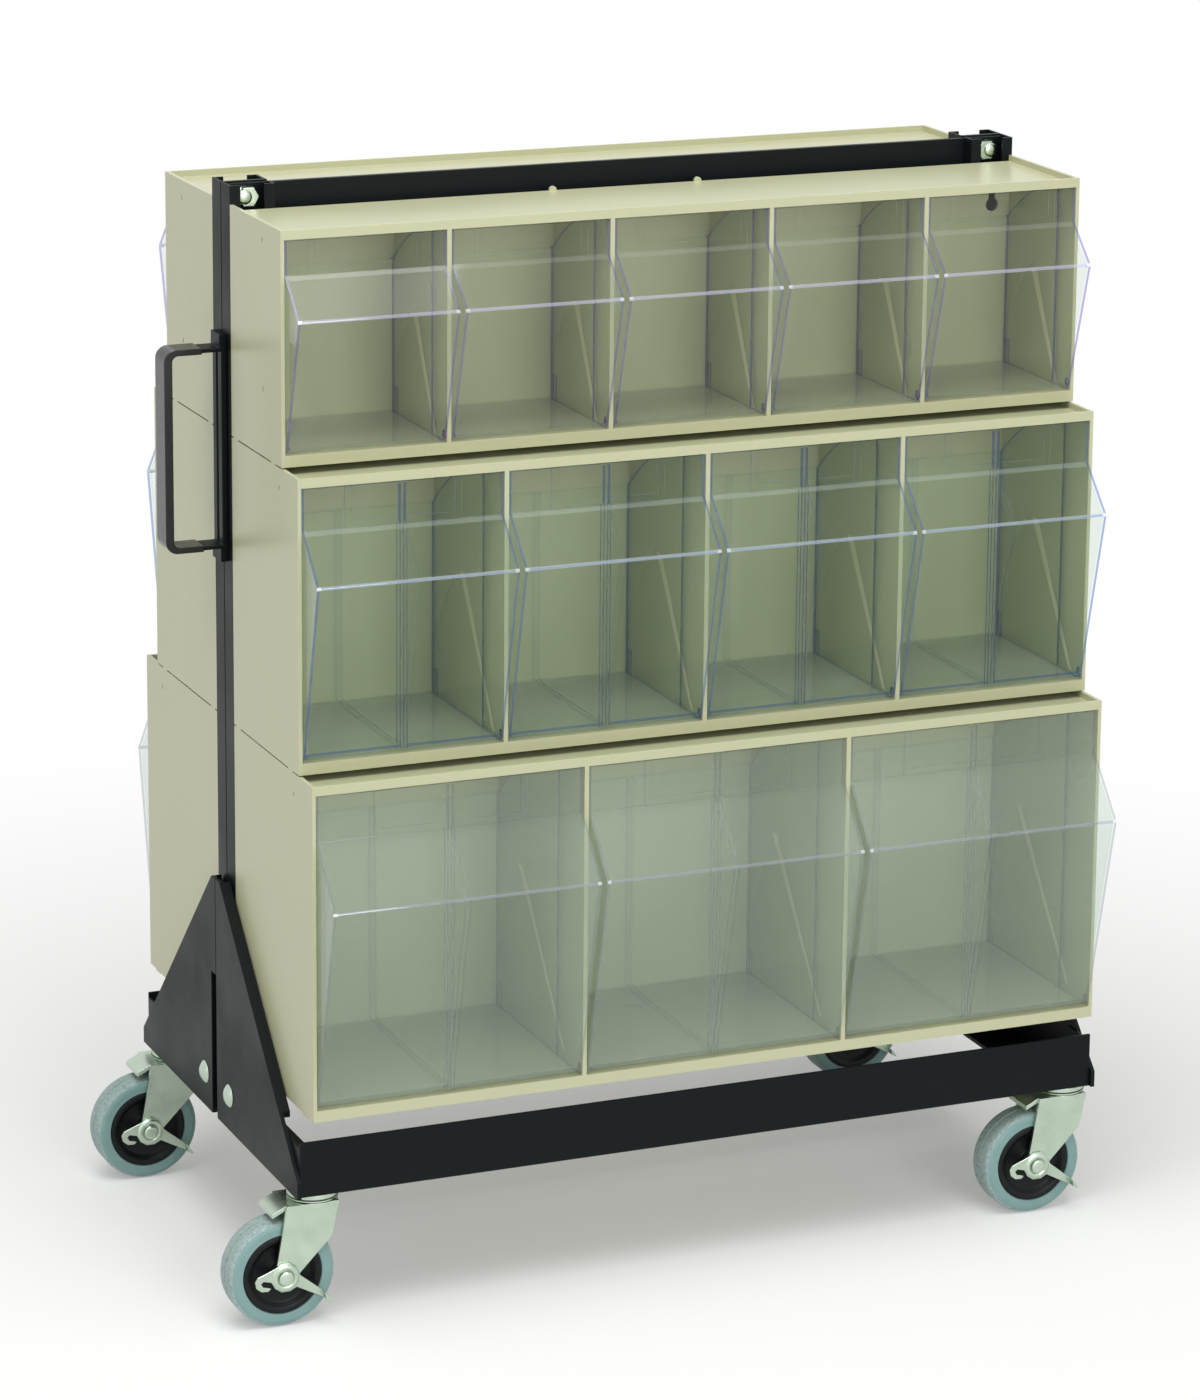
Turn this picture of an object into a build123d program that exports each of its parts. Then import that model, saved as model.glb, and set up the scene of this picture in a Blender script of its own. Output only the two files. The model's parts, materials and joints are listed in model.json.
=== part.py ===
"""Tilt-out bin floor stand: six hung bin cabinets, back to back, on a wheeled steel frame."""
from build123d import *
import os
from math import atan2, cos, degrees, radians, sin, sqrt
from typing import NamedTuple

os.makedirs("parts", exist_ok=True)

# Millimetres. X runs along the front, Y from the front to the back, Z up from the floor.

# The cabinets: one-piece mouldings, the same width in every row.
CABINET_WIDTH = 600.0
UPPER_HEIGHT = 162.0
MIDDLE_HEIGHT = 206.0
LOWER_HEIGHT = 239.0
UPPER_DEPTH = 105.0
MIDDLE_DEPTH = 136.5
LOWER_DEPTH = 162.5
ROW_GAP = 1.0            # between stacked cabinets, filled by their feet
SIDE_WALL = 2.6
BACK_WALL = 2.4
PARTITION = 3.2
PLATE = 2.2              # top and floor plates
RIM_DEPTH = 4.3          # the top plate lies this far below the rim
FRONT_LIP = 2.4
BOTTOM_BAND = 8.0        # from the underside up to the floor plate's upper face
FOOT_LENGTH = 9.0
KEYHOLE_HEAD_RADIUS = 5.0
KEYHOLE_DROP = 35.2      # from the rim down to the round end
KEYHOLE_RISE = 14.0      # from the round end up to the seat of the screw
EAR_RADIUS = 2.6
EAR_LEFT = 62.0          # of the cabinet's middle, seen from its front
EAR_RIGHT = 49.0
EAR_RISE = 3.2           # above the top plate

# The bins: clear mouldings that tilt on two stub pins at the lower front edge.
BIN_WALL = 1.8
UPPER_BULGE = 27.0       # how far the knee stands out past the label zone
MIDDLE_BULGE = 30.5
LOWER_BULGE = 34.5
UPPER_CREASE = 31.0      # below the cabinet's rim
MIDDLE_CREASE = 36.5
LOWER_CREASE = 39.5
UPPER_KNEE = 58.0        # below the cabinet's rim
MIDDLE_KNEE = 69.0
LOWER_KNEE = 80.5
UPPER_LABEL = 83.0       # width of the label frame
MIDDLE_LABEL = 84.0
LOWER_LABEL = 112.0
LABEL_BORDER = 5.0
LABEL_RAISE = 0.7
KNEE_ROUND = 3.0
LOWER_ROUND = 6.5        # of the lower front corner, so that it clears the floor plate as it tilts
BIN_SETBACK = 1.0        # the label zone lies this far behind the cabinet's front edge
BIN_SIDE_GAP = 0.4
BIN_BACK_GAP = 1.2
BIN_FLOOR_GAP = 0.8
BIN_TOP_GAP = 1.0
SWEEP_GAP = 0.8          # between the bin's curved shoulder and the ceiling as it tilts
PIVOT_IN = 4.6           # the pin's centre behind and above the bin's lower front corner
PIVOT_PIN_RADIUS = 2.6
PIVOT_CLEARANCE = 0.06
PIN_REACH = 1.0          # of the pin into its socket
SOCKET_DEPTH = 1.1
TILT = 45.0
STOP_MARGIN = 1.0        # degrees left between the stop lug and its stop at full tilt
LUG_HEIGHT = 18.0
LUG_LENGTH = 5.0
LUG_PROUD = 0.9
GUIDE_DEPTH = 0.8        # of the fan-shaped guide in each wall
GUIDE_START = 12.0       # from the pin to where the guide begins
GUIDE_MARGIN = 1.0
SLOT_RIB = 1.3           # ribs that hold a divider, in the wider bins
SLOT_WIDTH = 2.4
RIB_PROUD = 1.6

# The frame.
UPRIGHT_WIDTH = 33.0
UPRIGHT_DEPTH = 38.0
UPRIGHT_WALL = 1.8
UPRIGHT_OPENING = 17.5
UPRIGHT_RISE = 13.0      # above the upper cabinets' rims
SIDE_GROOVE = 1.2
FOOT_PLATE_LENGTH = 90.0
FOOT_PLATE_HEIGHT = 112.0
CROSSBAR_HEIGHT = 40.0
CROSSBAR_THICKNESS = 4.4
CROSSBAR_DROP = 1.0      # from the upright's top to the crossbar's top edge
CROSSBAR_CLEARANCE = 0.3
CROSSBAR_BOLT_DROP = 10.0   # from the upright's top to the crossbar's bolts
CASTER_HEIGHT = 95.0     # floor to the underside of the gussets
GUSSET_PLATE = 3.0
GUSSET_OFFSET = 6.0      # from the cabinet's side to the gusset's inner face
GUSSET_APEX = 274.5
GUSSET_REACH = 173.0     # from the stand's middle to the outer tip
GUSSET_TIP_TOP = 107.0
GUSSET_APEX_WIDTH = 9.0
GUSSET_FLANGE = 39.0     # inward, along the bottom
GUSSET_EDGE = 5.2        # inward lip along the slanting edge
LIP_CLEARANCE = 2.0      # from the end of that lip to the base rail's tab
FLANGE_CLEARANCE = 0.3   # from the end of the flange to the base rail's face
SEAM = 1.0               # between the two gussets of one side
SEAM_STEP = 10.0         # one of the two is cut back by this much below the step
SEAM_STEP_TOP = 202.5
RAIL_HEIGHT = 40.0
RAIL_PLATE = 2.0
RAIL_REACH = 170.0
RAIL_TAB = 33.0
RAIL_TAB_DROP = 4.0
CABINET_CLEAR = 18.0     # from the rails' top edge to the lower cabinets

# The fasteners.
FRAME_BOLT_RADIUS = 4.0
FRAME_BOLT_ACROSS = 13.0
FRAME_BOLT_HEAD = 5.3
CARRIAGE_HEAD_RADIUS = 8.5
CARRIAGE_HEAD_RISE = 4.0
CARRIAGE_SPACING = 54.0
CARRIAGE_HEIGHT = 121.0
BOLT_CLEARANCE = 0.3
SCREW_RADIUS = 2.5
SCREW_HEAD_RADIUS = 4.7
SCREW_HEAD = 2.4
CHANNEL_NUT_THICKNESS = 4.0
CHANNEL_NUT_HEIGHT = 12.0
CHANNEL_NUT_CLEARANCE = 0.4
THREAD_CLEARANCE = 0.05

# The handle on the left upright.
HANDLE_REACH = 45.5
HANDLE_HEIGHT = 144.5
HANDLE_CENTRE = 589.0    # above the floor
STRAP = 2.8
STRAP_DEPTH = 19.0
STRAP_BEND = 8.0         # outer radius of the strap's bends
GRIP_SLEEVE = 0.8        # of the grip around the strap
GRIP_PALM = 2.4          # of the grip on the strap's inner face, between the arms
GRIP_END = 18.0          # from the upright out to where the grip's arms end
FOOT_RISE = 9.5          # of the strap's bent feet, above and below its arms
FOOT_PROUD = 1.3         # of the feet, out from the back strap
BACK_STRAP = 4.0
BACK_GROOVE = 3.8

# The casters.
STEM_INBOARD = 9.0       # from the cabinets' side plane
STEM_REACH = 152.0       # from the stand's middle
STEM_RADIUS = 5.0
STEM_LENGTH = 16.0       # above the gusset's underside
STEM_NUT_ACROSS = 17.0
STEM_NUT_HEIGHT = 8.0
RACE_RADIUS = 18.0
RACE_HEIGHT = 5.4
KING_RADIUS = 4.0
KING_HEAD_RADIUS = 7.5
KING_HEAD = 2.4
TRAIL = 26.0
WHEEL_RADIUS = 38.5
TYRE_WIDTH = 25.0
HUB_RADIUS = 28.5
HUB_BOSS_RADIUS = 9.0
HUB_BOSS_WIDTH = 27.0
HUB_DISH = 4.0
HUB_RIM = 3.5
TREAD_GROOVE = 0.8
TYRE_ROUND = 5.0
FORK_GAP = 28.0
FORK_PLATE = 2.5
FORK_TOP_PLATE = 3.2
FORK_FRONT = 14.0        # from the stem to the legs' straight front edge
FORK_REAR = 24.0         # from the stem to the legs' rear top corner
FORK_SHOULDER = 25.0     # height of the legs' upper part, above where they narrow towards the eye
FORK_SHOULDER_IN = 5.0   # the front edge comes in by this much down to there
FORK_EYE_RADIUS = 7.0
VISOR = 10.0             # bent end of the top plate, out over the tyre
VISOR_DROP = 5.0
AXLE_RADIUS = 4.0
AXLE_HEAD_RADIUS = 5.0
AXLE_HEAD = 1.6
RUNNING_CLEARANCE = 0.06
SLIDE_CLEARANCE = 0.3
LEVER_PLATE = 2.0
LEVER_BOSS_RADIUS = 10.5
LEVER_ROOT_WIDTH = 17.0  # of both arms, at the boss
LEVER_TIP_WIDTH = 8.0
LEVER_HOOK_REACH = 24.0
LEVER_PEDAL_REACH = 33.0
LEVER_BEND = 30.0        # degrees between the hook's arm and the line of the pedal's arm
LEVER_TAB = 7.0
LEVER_DROP = 29.0        # degrees, pedal end down, with the brake on


class Row(NamedTuple):
    """One row of cabinets and its bins."""

    name: str
    bins: int
    height: float
    depth: float
    bulge: float
    crease: float
    knee: float
    label: float
    divided: bool


ROWS = (
    Row("lower", 3, LOWER_HEIGHT, LOWER_DEPTH, LOWER_BULGE, LOWER_CREASE, LOWER_KNEE,
        LOWER_LABEL, True),
    Row("middle", 4, MIDDLE_HEIGHT, MIDDLE_DEPTH, MIDDLE_BULGE, MIDDLE_CREASE, MIDDLE_KNEE,
        MIDDLE_LABEL, True),
    Row("upper", 5, UPPER_HEIGHT, UPPER_DEPTH, UPPER_BULGE, UPPER_CREASE, UPPER_KNEE,
        UPPER_LABEL, False),
)

# Heights above the floor.
FLANGE_TOP = CASTER_HEIGHT + GUSSET_PLATE
RAIL_TOP = CASTER_HEIGHT + RAIL_HEIGHT
BASE = RAIL_TOP + CABINET_CLEAR
STACK_TOP = BASE + LOWER_HEIGHT + MIDDLE_HEIGHT + UPPER_HEIGHT + 2 * ROW_GAP
UPRIGHT_TOP = STACK_TOP + UPRIGHT_RISE

# The stand's sides, and where its middle lies so that the origin is under the whole outline.
SIDE = CABINET_WIDTH / 2
GUSSET_OUTER = SIDE + GUSSET_OFFSET + GUSSET_PLATE
STEM_X = SIDE - STEM_INBOARD
LEFT_REACH = max(STEM_X + TRAIL + WHEEL_RADIUS, SIDE + HANDLE_REACH)
BOLT_HOLE_RADIUS = FRAME_BOLT_RADIUS + BOLT_CLEARANCE
BOLT_REACH = GUSSET_OUTER + CARRIAGE_HEAD_RISE
MIDDLE_X = (LEFT_REACH - BOLT_REACH) / 2


def save(piece, name):
    """Label one finished piece and write it, moved from the stand's middle to the origin's frame."""
    placed = piece.moved(Location((MIDDLE_X, 0, 0)))
    placed.label = name
    export_step(placed, f"parts/{name}.step")


# Places inside a cabinet, measured from the middle of its back at its underside.

def ceiling(row):
    return row.height - RIM_DEPTH - PLATE


def bin_front(row):
    return BIN_SETBACK - row.depth


def bin_bottom():
    return BOTTOM_BAND + BIN_FLOOR_GAP


def pivot(row):
    """Y and Z of the bins' pins."""
    return bin_front(row) + PIVOT_IN, bin_bottom() + PIVOT_IN


def compartment(row):
    """Clear width of one compartment."""
    return (CABINET_WIDTH - 2 * SIDE_WALL - (row.bins - 1) * PARTITION) / row.bins


def compartment_x(row, index):
    """Middle of one compartment, counted from the left."""
    return -SIDE + SIDE_WALL + compartment(row) / 2 + index * (compartment(row) + PARTITION)


def bin_back():
    return -BACK_WALL - BIN_BACK_GAP


def lug_radius(row):
    """From the pins to the far end of the stop lug at the bin's lower back corner."""
    return bin_back() - pivot(row)[0]


def stop_angle(row):
    """Angle of the stop edge above the floor, just past the lug's upper corner at full tilt."""
    lug_top = LUG_HEIGHT - PIVOT_IN
    return TILT + degrees(atan2(lug_top, lug_radius(row) - LUG_LENGTH)) + STOP_MARGIN


def bin_side(row, top):
    """Corners of a bin's side, from the lower back corner round the front to the upper back."""
    front = bin_front(row)
    rim = row.height
    return [
        (bin_back(), bin_bottom()),
        (front, bin_bottom()),
        (front - row.bulge, rim - row.knee),
        (front, rim - row.crease),
        (front, top),
        (bin_back(), top),
    ]


def make_cabinet(row):
    """A moulded case, open at the front, with partitions, stop guides, pin sockets and keyholes."""
    pin_y, pin_z = pivot(row)
    width = compartment(row)
    inner_depth = row.depth - BACK_WALL
    with BuildPart() as cabinet:
        with Locations((0, -row.depth / 2, row.height / 2)):
            Box(CABINET_WIDTH, row.depth, row.height)
        with Locations((0, FRONT_LIP / 2, row.height - RIM_DEPTH / 2)):
            with Locations((0, -row.depth / 2, 0)):
                Box(CABINET_WIDTH - 2 * SIDE_WALL, row.depth - FRONT_LIP, RIM_DEPTH, mode=Mode.SUBTRACT)
        skirt = BOTTOM_BAND - PLATE
        with Locations((0, -row.depth / 2, skirt / 2)):
            Box(CABINET_WIDTH - 2 * SIDE_WALL, row.depth - 2 * FRONT_LIP, skirt, mode=Mode.SUBTRACT)
        places = [compartment_x(row, index) for index in range(row.bins)]
        clear_height = ceiling(row) - BOTTOM_BAND
        with Locations(*[(x, -BACK_WALL - inner_depth / 2, BOTTOM_BAND + clear_height / 2) for x in places]):
            Box(width, inner_depth, clear_height, mode=Mode.SUBTRACT)
        # A round-ended guide fans out from the pin to the stop edge on both walls of each compartment.
        for x in places:
            for side in (-1, 1):
                wall = x + side * width / 2
                far = lug_radius(row) + GUIDE_MARGIN
                with BuildSketch(Plane.YZ.offset(wall if side > 0 else wall - GUIDE_DEPTH)):
                    with Locations((pin_y, pin_z)):
                        Circle(far)
                        Circle(GUIDE_START, mode=Mode.SUBTRACT)
                    with BuildLine():
                        reach = 2 * far
                        edge = radians(stop_angle(row))
                        floor = BOTTOM_BAND
                        Polyline((pin_y, floor), (pin_y + reach, floor),
                                 (pin_y + reach, pin_z + reach * sin(edge)),
                                 (pin_y + reach * cos(edge), pin_z + reach * sin(edge)),
                                 (pin_y, pin_z), (pin_y, floor))
                    make_face(mode=Mode.INTERSECT)
                extrude(amount=GUIDE_DEPTH, mode=Mode.SUBTRACT)
                with BuildSketch(Plane.YZ.offset(wall if side > 0 else wall - SOCKET_DEPTH)):
                    with Locations((pin_y, pin_z)):
                        Circle(PIVOT_PIN_RADIUS + PIVOT_CLEARANCE)
                extrude(amount=SOCKET_DEPTH, mode=Mode.SUBTRACT)
        # Keyholes in line with the uprights.
        for side in (-1, 1):
            x = side * (SIDE - UPRIGHT_WIDTH / 2)
            head_z = row.height - KEYHOLE_DROP
            with BuildSketch(Plane.XZ):
                with Locations((x, head_z)):
                    Circle(KEYHOLE_HEAD_RADIUS)
                with Locations((x, head_z + KEYHOLE_RISE / 2)):
                    SlotCenterToCenter(KEYHOLE_RISE, 2 * (SCREW_RADIUS + BOLT_CLEARANCE), rotation=90)
            extrude(amount=BACK_WALL, mode=Mode.SUBTRACT)
        # Two small round-topped ears with straight sides stand on the top plate's back edge.
        ear_z = row.height - RIM_DEPTH + EAR_RISE - EAR_RADIUS
        with BuildSketch(Plane.XZ):
            with Locations((-EAR_LEFT, ear_z), (EAR_RIGHT, ear_z)):
                Circle(EAR_RADIUS)
                Rectangle(2 * EAR_RADIUS, EAR_RADIUS, align=(Align.CENTER, Align.MAX))
        extrude(amount=BACK_WALL)
        foot_x = SIDE - SIDE_WALL / 2
        foot_ys = (-row.depth + 2 * FOOT_LENGTH, -FOOT_LENGTH)
        with Locations(*[(s * foot_x, y, -ROW_GAP / 2) for s in (-1, 1) for y in foot_ys]):
            Box(SIDE_WALL, FOOT_LENGTH, ROW_GAP)
    return cabinet.part


def make_bin(row):
    """A clear bin about its own middle: bulged front, curved shoulders, pins and stop lugs."""
    pin_y, pin_z = pivot(row)
    width = compartment(row) - 2 * BIN_SIDE_GAP
    top = ceiling(row) - BIN_TOP_GAP
    sweep_radius = ceiling(row) - SWEEP_GAP - pin_z
    with BuildPart() as body:
        with BuildSketch(Plane.YZ.offset(-width / 2)) as outline:
            with BuildLine():
                Polyline(*bin_side(row, top), close=True)
            make_face()
            fillet(outline.vertices().group_by(Axis.Y)[0].sort_by(Axis.X)[0], LOWER_ROUND)
            fillet(outline.vertices().group_by(Axis.X)[0], KNEE_ROUND)
            with Locations((pin_y, pin_z)):
                Circle(sweep_radius, mode=Mode.INTERSECT)
        extrude(amount=width)
        with BuildSketch(Plane.YZ.offset(BIN_WALL - width / 2)) as hollow:
            with BuildLine():
                Polyline(*bin_side(row, row.height), close=True)
            make_face()
            offset(amount=-BIN_WALL, kind=Kind.INTERSECTION)
            fillet(hollow.vertices().group_by(Axis.Y)[0].sort_by(Axis.X)[0], LOWER_ROUND - BIN_WALL)
            fillet(hollow.vertices().group_by(Axis.X)[0], KNEE_ROUND - BIN_WALL)
        extrude(amount=width - 2 * BIN_WALL, mode=Mode.SUBTRACT)
        if row.divided:
            for side in (-1, 1):
                x = side * (SLOT_WIDTH + SLOT_RIB) / 2
                with BuildSketch(Plane.YZ.offset(x - SLOT_RIB / 2)):
                    with BuildLine():
                        Polyline(*bin_side(row, top), close=True)
                    make_face()
                    offset(amount=-BIN_WALL / 2, kind=Kind.INTERSECTION)
                    with Locations((pin_y, pin_z)):
                        Circle(sweep_radius - BIN_WALL, mode=Mode.INTERSECT)
                    with BuildLine():
                        Polyline(*bin_side(row, row.height), close=True)
                    face = make_face(mode=Mode.PRIVATE)
                    within = offset(face, amount=-BIN_WALL - RIB_PROUD, kind=Kind.INTERSECTION,
                                    mode=Mode.PRIVATE)
                    add(within, mode=Mode.SUBTRACT)
                extrude(amount=SLOT_RIB)
        # The label frame: two sides and a bottom bar on the label zone.
        front = bin_front(row)
        frame_bottom = row.height - row.crease
        with BuildSketch(Plane.XZ.offset(-front - BIN_WALL / 2)):
            with Locations((0, (top + frame_bottom) / 2)):
                Rectangle(row.label, top - frame_bottom)
            with Locations((0, (top + frame_bottom) / 2 + LABEL_BORDER)):
                Rectangle(row.label - 2 * LABEL_BORDER, top - frame_bottom, mode=Mode.SUBTRACT)
        extrude(amount=BIN_WALL / 2 + LABEL_RAISE)
        # Stub pins and stop lugs on both sides.
        pin_length = BIN_SIDE_GAP + PIN_REACH
        lug_y = bin_back() - LUG_LENGTH / 2
        for side in (-1, 1):
            with BuildSketch(Plane.YZ.offset(side * width / 2)):
                with Locations((pin_y, pin_z)):
                    Circle(PIVOT_PIN_RADIUS)
            extrude(amount=side * pin_length)
            with BuildSketch(Plane.YZ.offset(side * width / 2)):
                with Locations((lug_y, bin_bottom() + LUG_HEIGHT / 2)):
                    Rectangle(LUG_LENGTH, LUG_HEIGHT)
            extrude(amount=side * LUG_PROUD)
    return body.part


# Cabinets and bins, row by row from the bottom. The back of the stand repeats its front.
row_bottom = BASE
for row in ROWS:
    case = make_cabinet(row)
    tray = make_bin(row)
    to_row = Location((0, -UPRIGHT_DEPTH / 2, row_bottom))
    for face, turn in (("front", 0), ("back", 180)):
        spin = Location((0, 0, 0), (0, 0, turn))
        save(case.moved(spin * to_row), f"{face}_{row.name}_cabinet")
        for index in range(row.bins):
            to_place = Location((compartment_x(row, index), 0, 0))
            save(tray.moved(spin * to_row * to_place), f"{face}_{row.name}_bin_{index + 1}")
    row_bottom += row.height + ROW_GAP


# The uprights: two lipped channels back to back, with a foot plate that the gussets bolt to.

def make_upright(side):
    """One upright; side is -1 on the left and 1 on the right."""
    middle = side * (SIDE - UPRIGHT_WIDTH / 2)
    outer = side * SIDE
    height = UPRIGHT_TOP - FLANGE_TOP
    cavity_depth = UPRIGHT_DEPTH / 2 - 2 * UPRIGHT_WALL
    with BuildPart() as upright:
        with BuildSketch(Plane.XY.offset(FLANGE_TOP)):
            with Locations((middle, 0)):
                Rectangle(UPRIGHT_WIDTH, UPRIGHT_DEPTH)
            for face in (-1, 1):
                with Locations((middle, face * (UPRIGHT_WALL + cavity_depth / 2))):
                    Rectangle(UPRIGHT_WIDTH - 2 * UPRIGHT_WALL, cavity_depth, mode=Mode.SUBTRACT)
                with Locations((middle, face * (UPRIGHT_DEPTH - UPRIGHT_WALL) / 2)):
                    Rectangle(UPRIGHT_OPENING, UPRIGHT_WALL, mode=Mode.SUBTRACT)
            with Locations((middle - UPRIGHT_WIDTH / 2, 0), (middle + UPRIGHT_WIDTH / 2, 0)):
                Rectangle(SIDE_GROOVE, SIDE_GROOVE, rotation=45, mode=Mode.SUBTRACT)
        extrude(amount=height)
        # The crossbar enters through a notch in the inner wall.
        notch_height = CROSSBAR_HEIGHT + CROSSBAR_DROP + CROSSBAR_CLEARANCE
        inner_wall = middle - side * (UPRIGHT_WIDTH - UPRIGHT_WALL) / 2
        with Locations((inner_wall, crossbar_y(), UPRIGHT_TOP - notch_height / 2)):
            Box(UPRIGHT_WALL, CROSSBAR_THICKNESS + 2 * CROSSBAR_CLEARANCE, notch_height, mode=Mode.SUBTRACT)
        with Locations((middle, 0, crossbar_bolt_z())):
            Cylinder(BOLT_HOLE_RADIUS, 2 * UPRIGHT_WALL, rotation=(90, 0, 0), mode=Mode.SUBTRACT)
        plate_x = outer + side * GUSSET_OFFSET / 2
        with Locations((plate_x, 0, FLANGE_TOP + FOOT_PLATE_HEIGHT / 2)):
            Box(GUSSET_OFFSET, FOOT_PLATE_LENGTH, FOOT_PLATE_HEIGHT)
        with Locations(*[(plate_x, s * CARRIAGE_SPACING / 2, CARRIAGE_HEIGHT) for s in (-1, 1)]):
            Cylinder(BOLT_HOLE_RADIUS, GUSSET_OFFSET, rotation=(0, 90, 0), mode=Mode.SUBTRACT)
    return upright.part


def crossbar_y():
    """The crossbar lies against the front of the uprights' webs."""
    return -UPRIGHT_WALL - CROSSBAR_THICKNESS / 2


def crossbar_bolt_z():
    return UPRIGHT_TOP - CROSSBAR_BOLT_DROP


save(make_upright(-1), "left_upright")
save(make_upright(1), "right_upright")

# The crossbar: a flat bar between the uprights, bolted through both webs.
with BuildPart() as crossbar:
    bar_end = SIDE - UPRIGHT_WALL - CROSSBAR_CLEARANCE
    with Locations((0, crossbar_y(), UPRIGHT_TOP - CROSSBAR_DROP - CROSSBAR_HEIGHT / 2)):
        Box(2 * bar_end, CROSSBAR_THICKNESS, CROSSBAR_HEIGHT)
    with Locations(*[(s * (SIDE - UPRIGHT_WIDTH / 2), crossbar_y(), crossbar_bolt_z()) for s in (-1, 1)]):
        Cylinder(BOLT_HOLE_RADIUS, CROSSBAR_THICKNESS, rotation=(90, 0, 0), mode=Mode.SUBTRACT)
save(crossbar.part, "top_crossbar")


# The gussets: four folded plates, a front and a back one on each side, that carry the casters.

def make_gusset(seam_step):
    """A front left gusset, cut back at the seam by the given step; the others are turned or mirrored."""
    inner = -SIDE - GUSSET_OFFSET
    seam = -SEAM / 2
    bottom = CASTER_HEIGHT
    outline = [
        (-GUSSET_APEX_WIDTH, GUSSET_APEX),
        (-GUSSET_REACH, GUSSET_TIP_TOP),
        (-GUSSET_REACH, bottom),
        (seam, bottom),
        (seam, GUSSET_APEX),
    ]
    with BuildPart() as gusset:
        with BuildSketch(Plane.YZ.offset(inner - GUSSET_PLATE)):
            with BuildLine():
                Polyline(*outline, close=True)
            make_face()
            if seam_step:
                with Locations((seam, (bottom + SEAM_STEP_TOP) / 2)):
                    Rectangle(2 * seam_step, SEAM_STEP_TOP - bottom, mode=Mode.SUBTRACT)
        extrude(amount=GUSSET_PLATE)
        # The slanting edge turns inward as a narrow lip that ends where the base rail's tab begins.
        with BuildSketch(Plane.YZ.offset(inner)):
            with BuildLine():
                slope = (GUSSET_APEX - GUSSET_TIP_TOP) / (GUSSET_REACH - GUSSET_APEX_WIDTH)
                thickness = GUSSET_PLATE * sqrt(1 + slope ** 2)
                lip_y = RAIL_TAB - RAIL_REACH + LIP_CLEARANCE
                lip_z = GUSSET_TIP_TOP + slope * (GUSSET_REACH + lip_y)
                Polyline((-GUSSET_APEX_WIDTH, GUSSET_APEX), (lip_y, lip_z), (lip_y, lip_z - thickness),
                         (-GUSSET_APEX_WIDTH, GUSSET_APEX - thickness), (-GUSSET_APEX_WIDTH, GUSSET_APEX))
            make_face()
        extrude(amount=GUSSET_EDGE)
        # The bottom edge turns inward as a wide flange for the caster's stem, as far as the rail's face.
        flange_width = GUSSET_FLANGE - GUSSET_PLATE
        flange_start = RAIL_PLATE + FLANGE_CLEARANCE - RAIL_REACH
        flange_end = seam - seam_step
        flange_y = (flange_start + flange_end) / 2
        with Locations((inner + flange_width / 2, flange_y, bottom + GUSSET_PLATE / 2)):
            Box(flange_width, flange_end - flange_start, GUSSET_PLATE)
        with Locations((-STEM_X, -STEM_REACH, bottom + GUSSET_PLATE / 2)):
            Cylinder(STEM_RADIUS + BOLT_CLEARANCE, GUSSET_PLATE, mode=Mode.SUBTRACT)
        with Locations((inner - GUSSET_PLATE / 2, -CARRIAGE_SPACING / 2, CARRIAGE_HEIGHT)):
            Cylinder(BOLT_HOLE_RADIUS, GUSSET_PLATE, rotation=(0, 90, 0), mode=Mode.SUBTRACT)
    return gusset.part


whole_gusset = make_gusset(0)
stepped_gusset = make_gusset(SEAM_STEP)
save(whole_gusset, "front_left_gusset")
save(stepped_gusset.mirror(Plane.YZ), "front_right_gusset")
save(stepped_gusset.mirror(Plane.XZ), "back_left_gusset")
save(whole_gusset.mirror(Plane.XZ).mirror(Plane.YZ), "back_right_gusset")

# The base rails: flat faces across the front and the back, with tabs bent back against the gussets.
with BuildPart() as rail:
    rail_end = SIDE + GUSSET_OFFSET
    with Locations((0, RAIL_PLATE / 2 - RAIL_REACH, CASTER_HEIGHT + RAIL_HEIGHT / 2)):
        Box(2 * rail_end, RAIL_PLATE, RAIL_HEIGHT)
    tab_height = RAIL_TOP - RAIL_TAB_DROP - FLANGE_TOP
    tab_x = rail_end - RAIL_PLATE / 2
    with Locations(*[(s * tab_x, RAIL_TAB / 2 - RAIL_REACH, FLANGE_TOP + tab_height / 2) for s in (-1, 1)]):
        Box(RAIL_PLATE, RAIL_TAB, tab_height)
save(rail.part, "front_base_rail")
save(rail.part.mirror(Plane.XZ), "back_base_rail")

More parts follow.
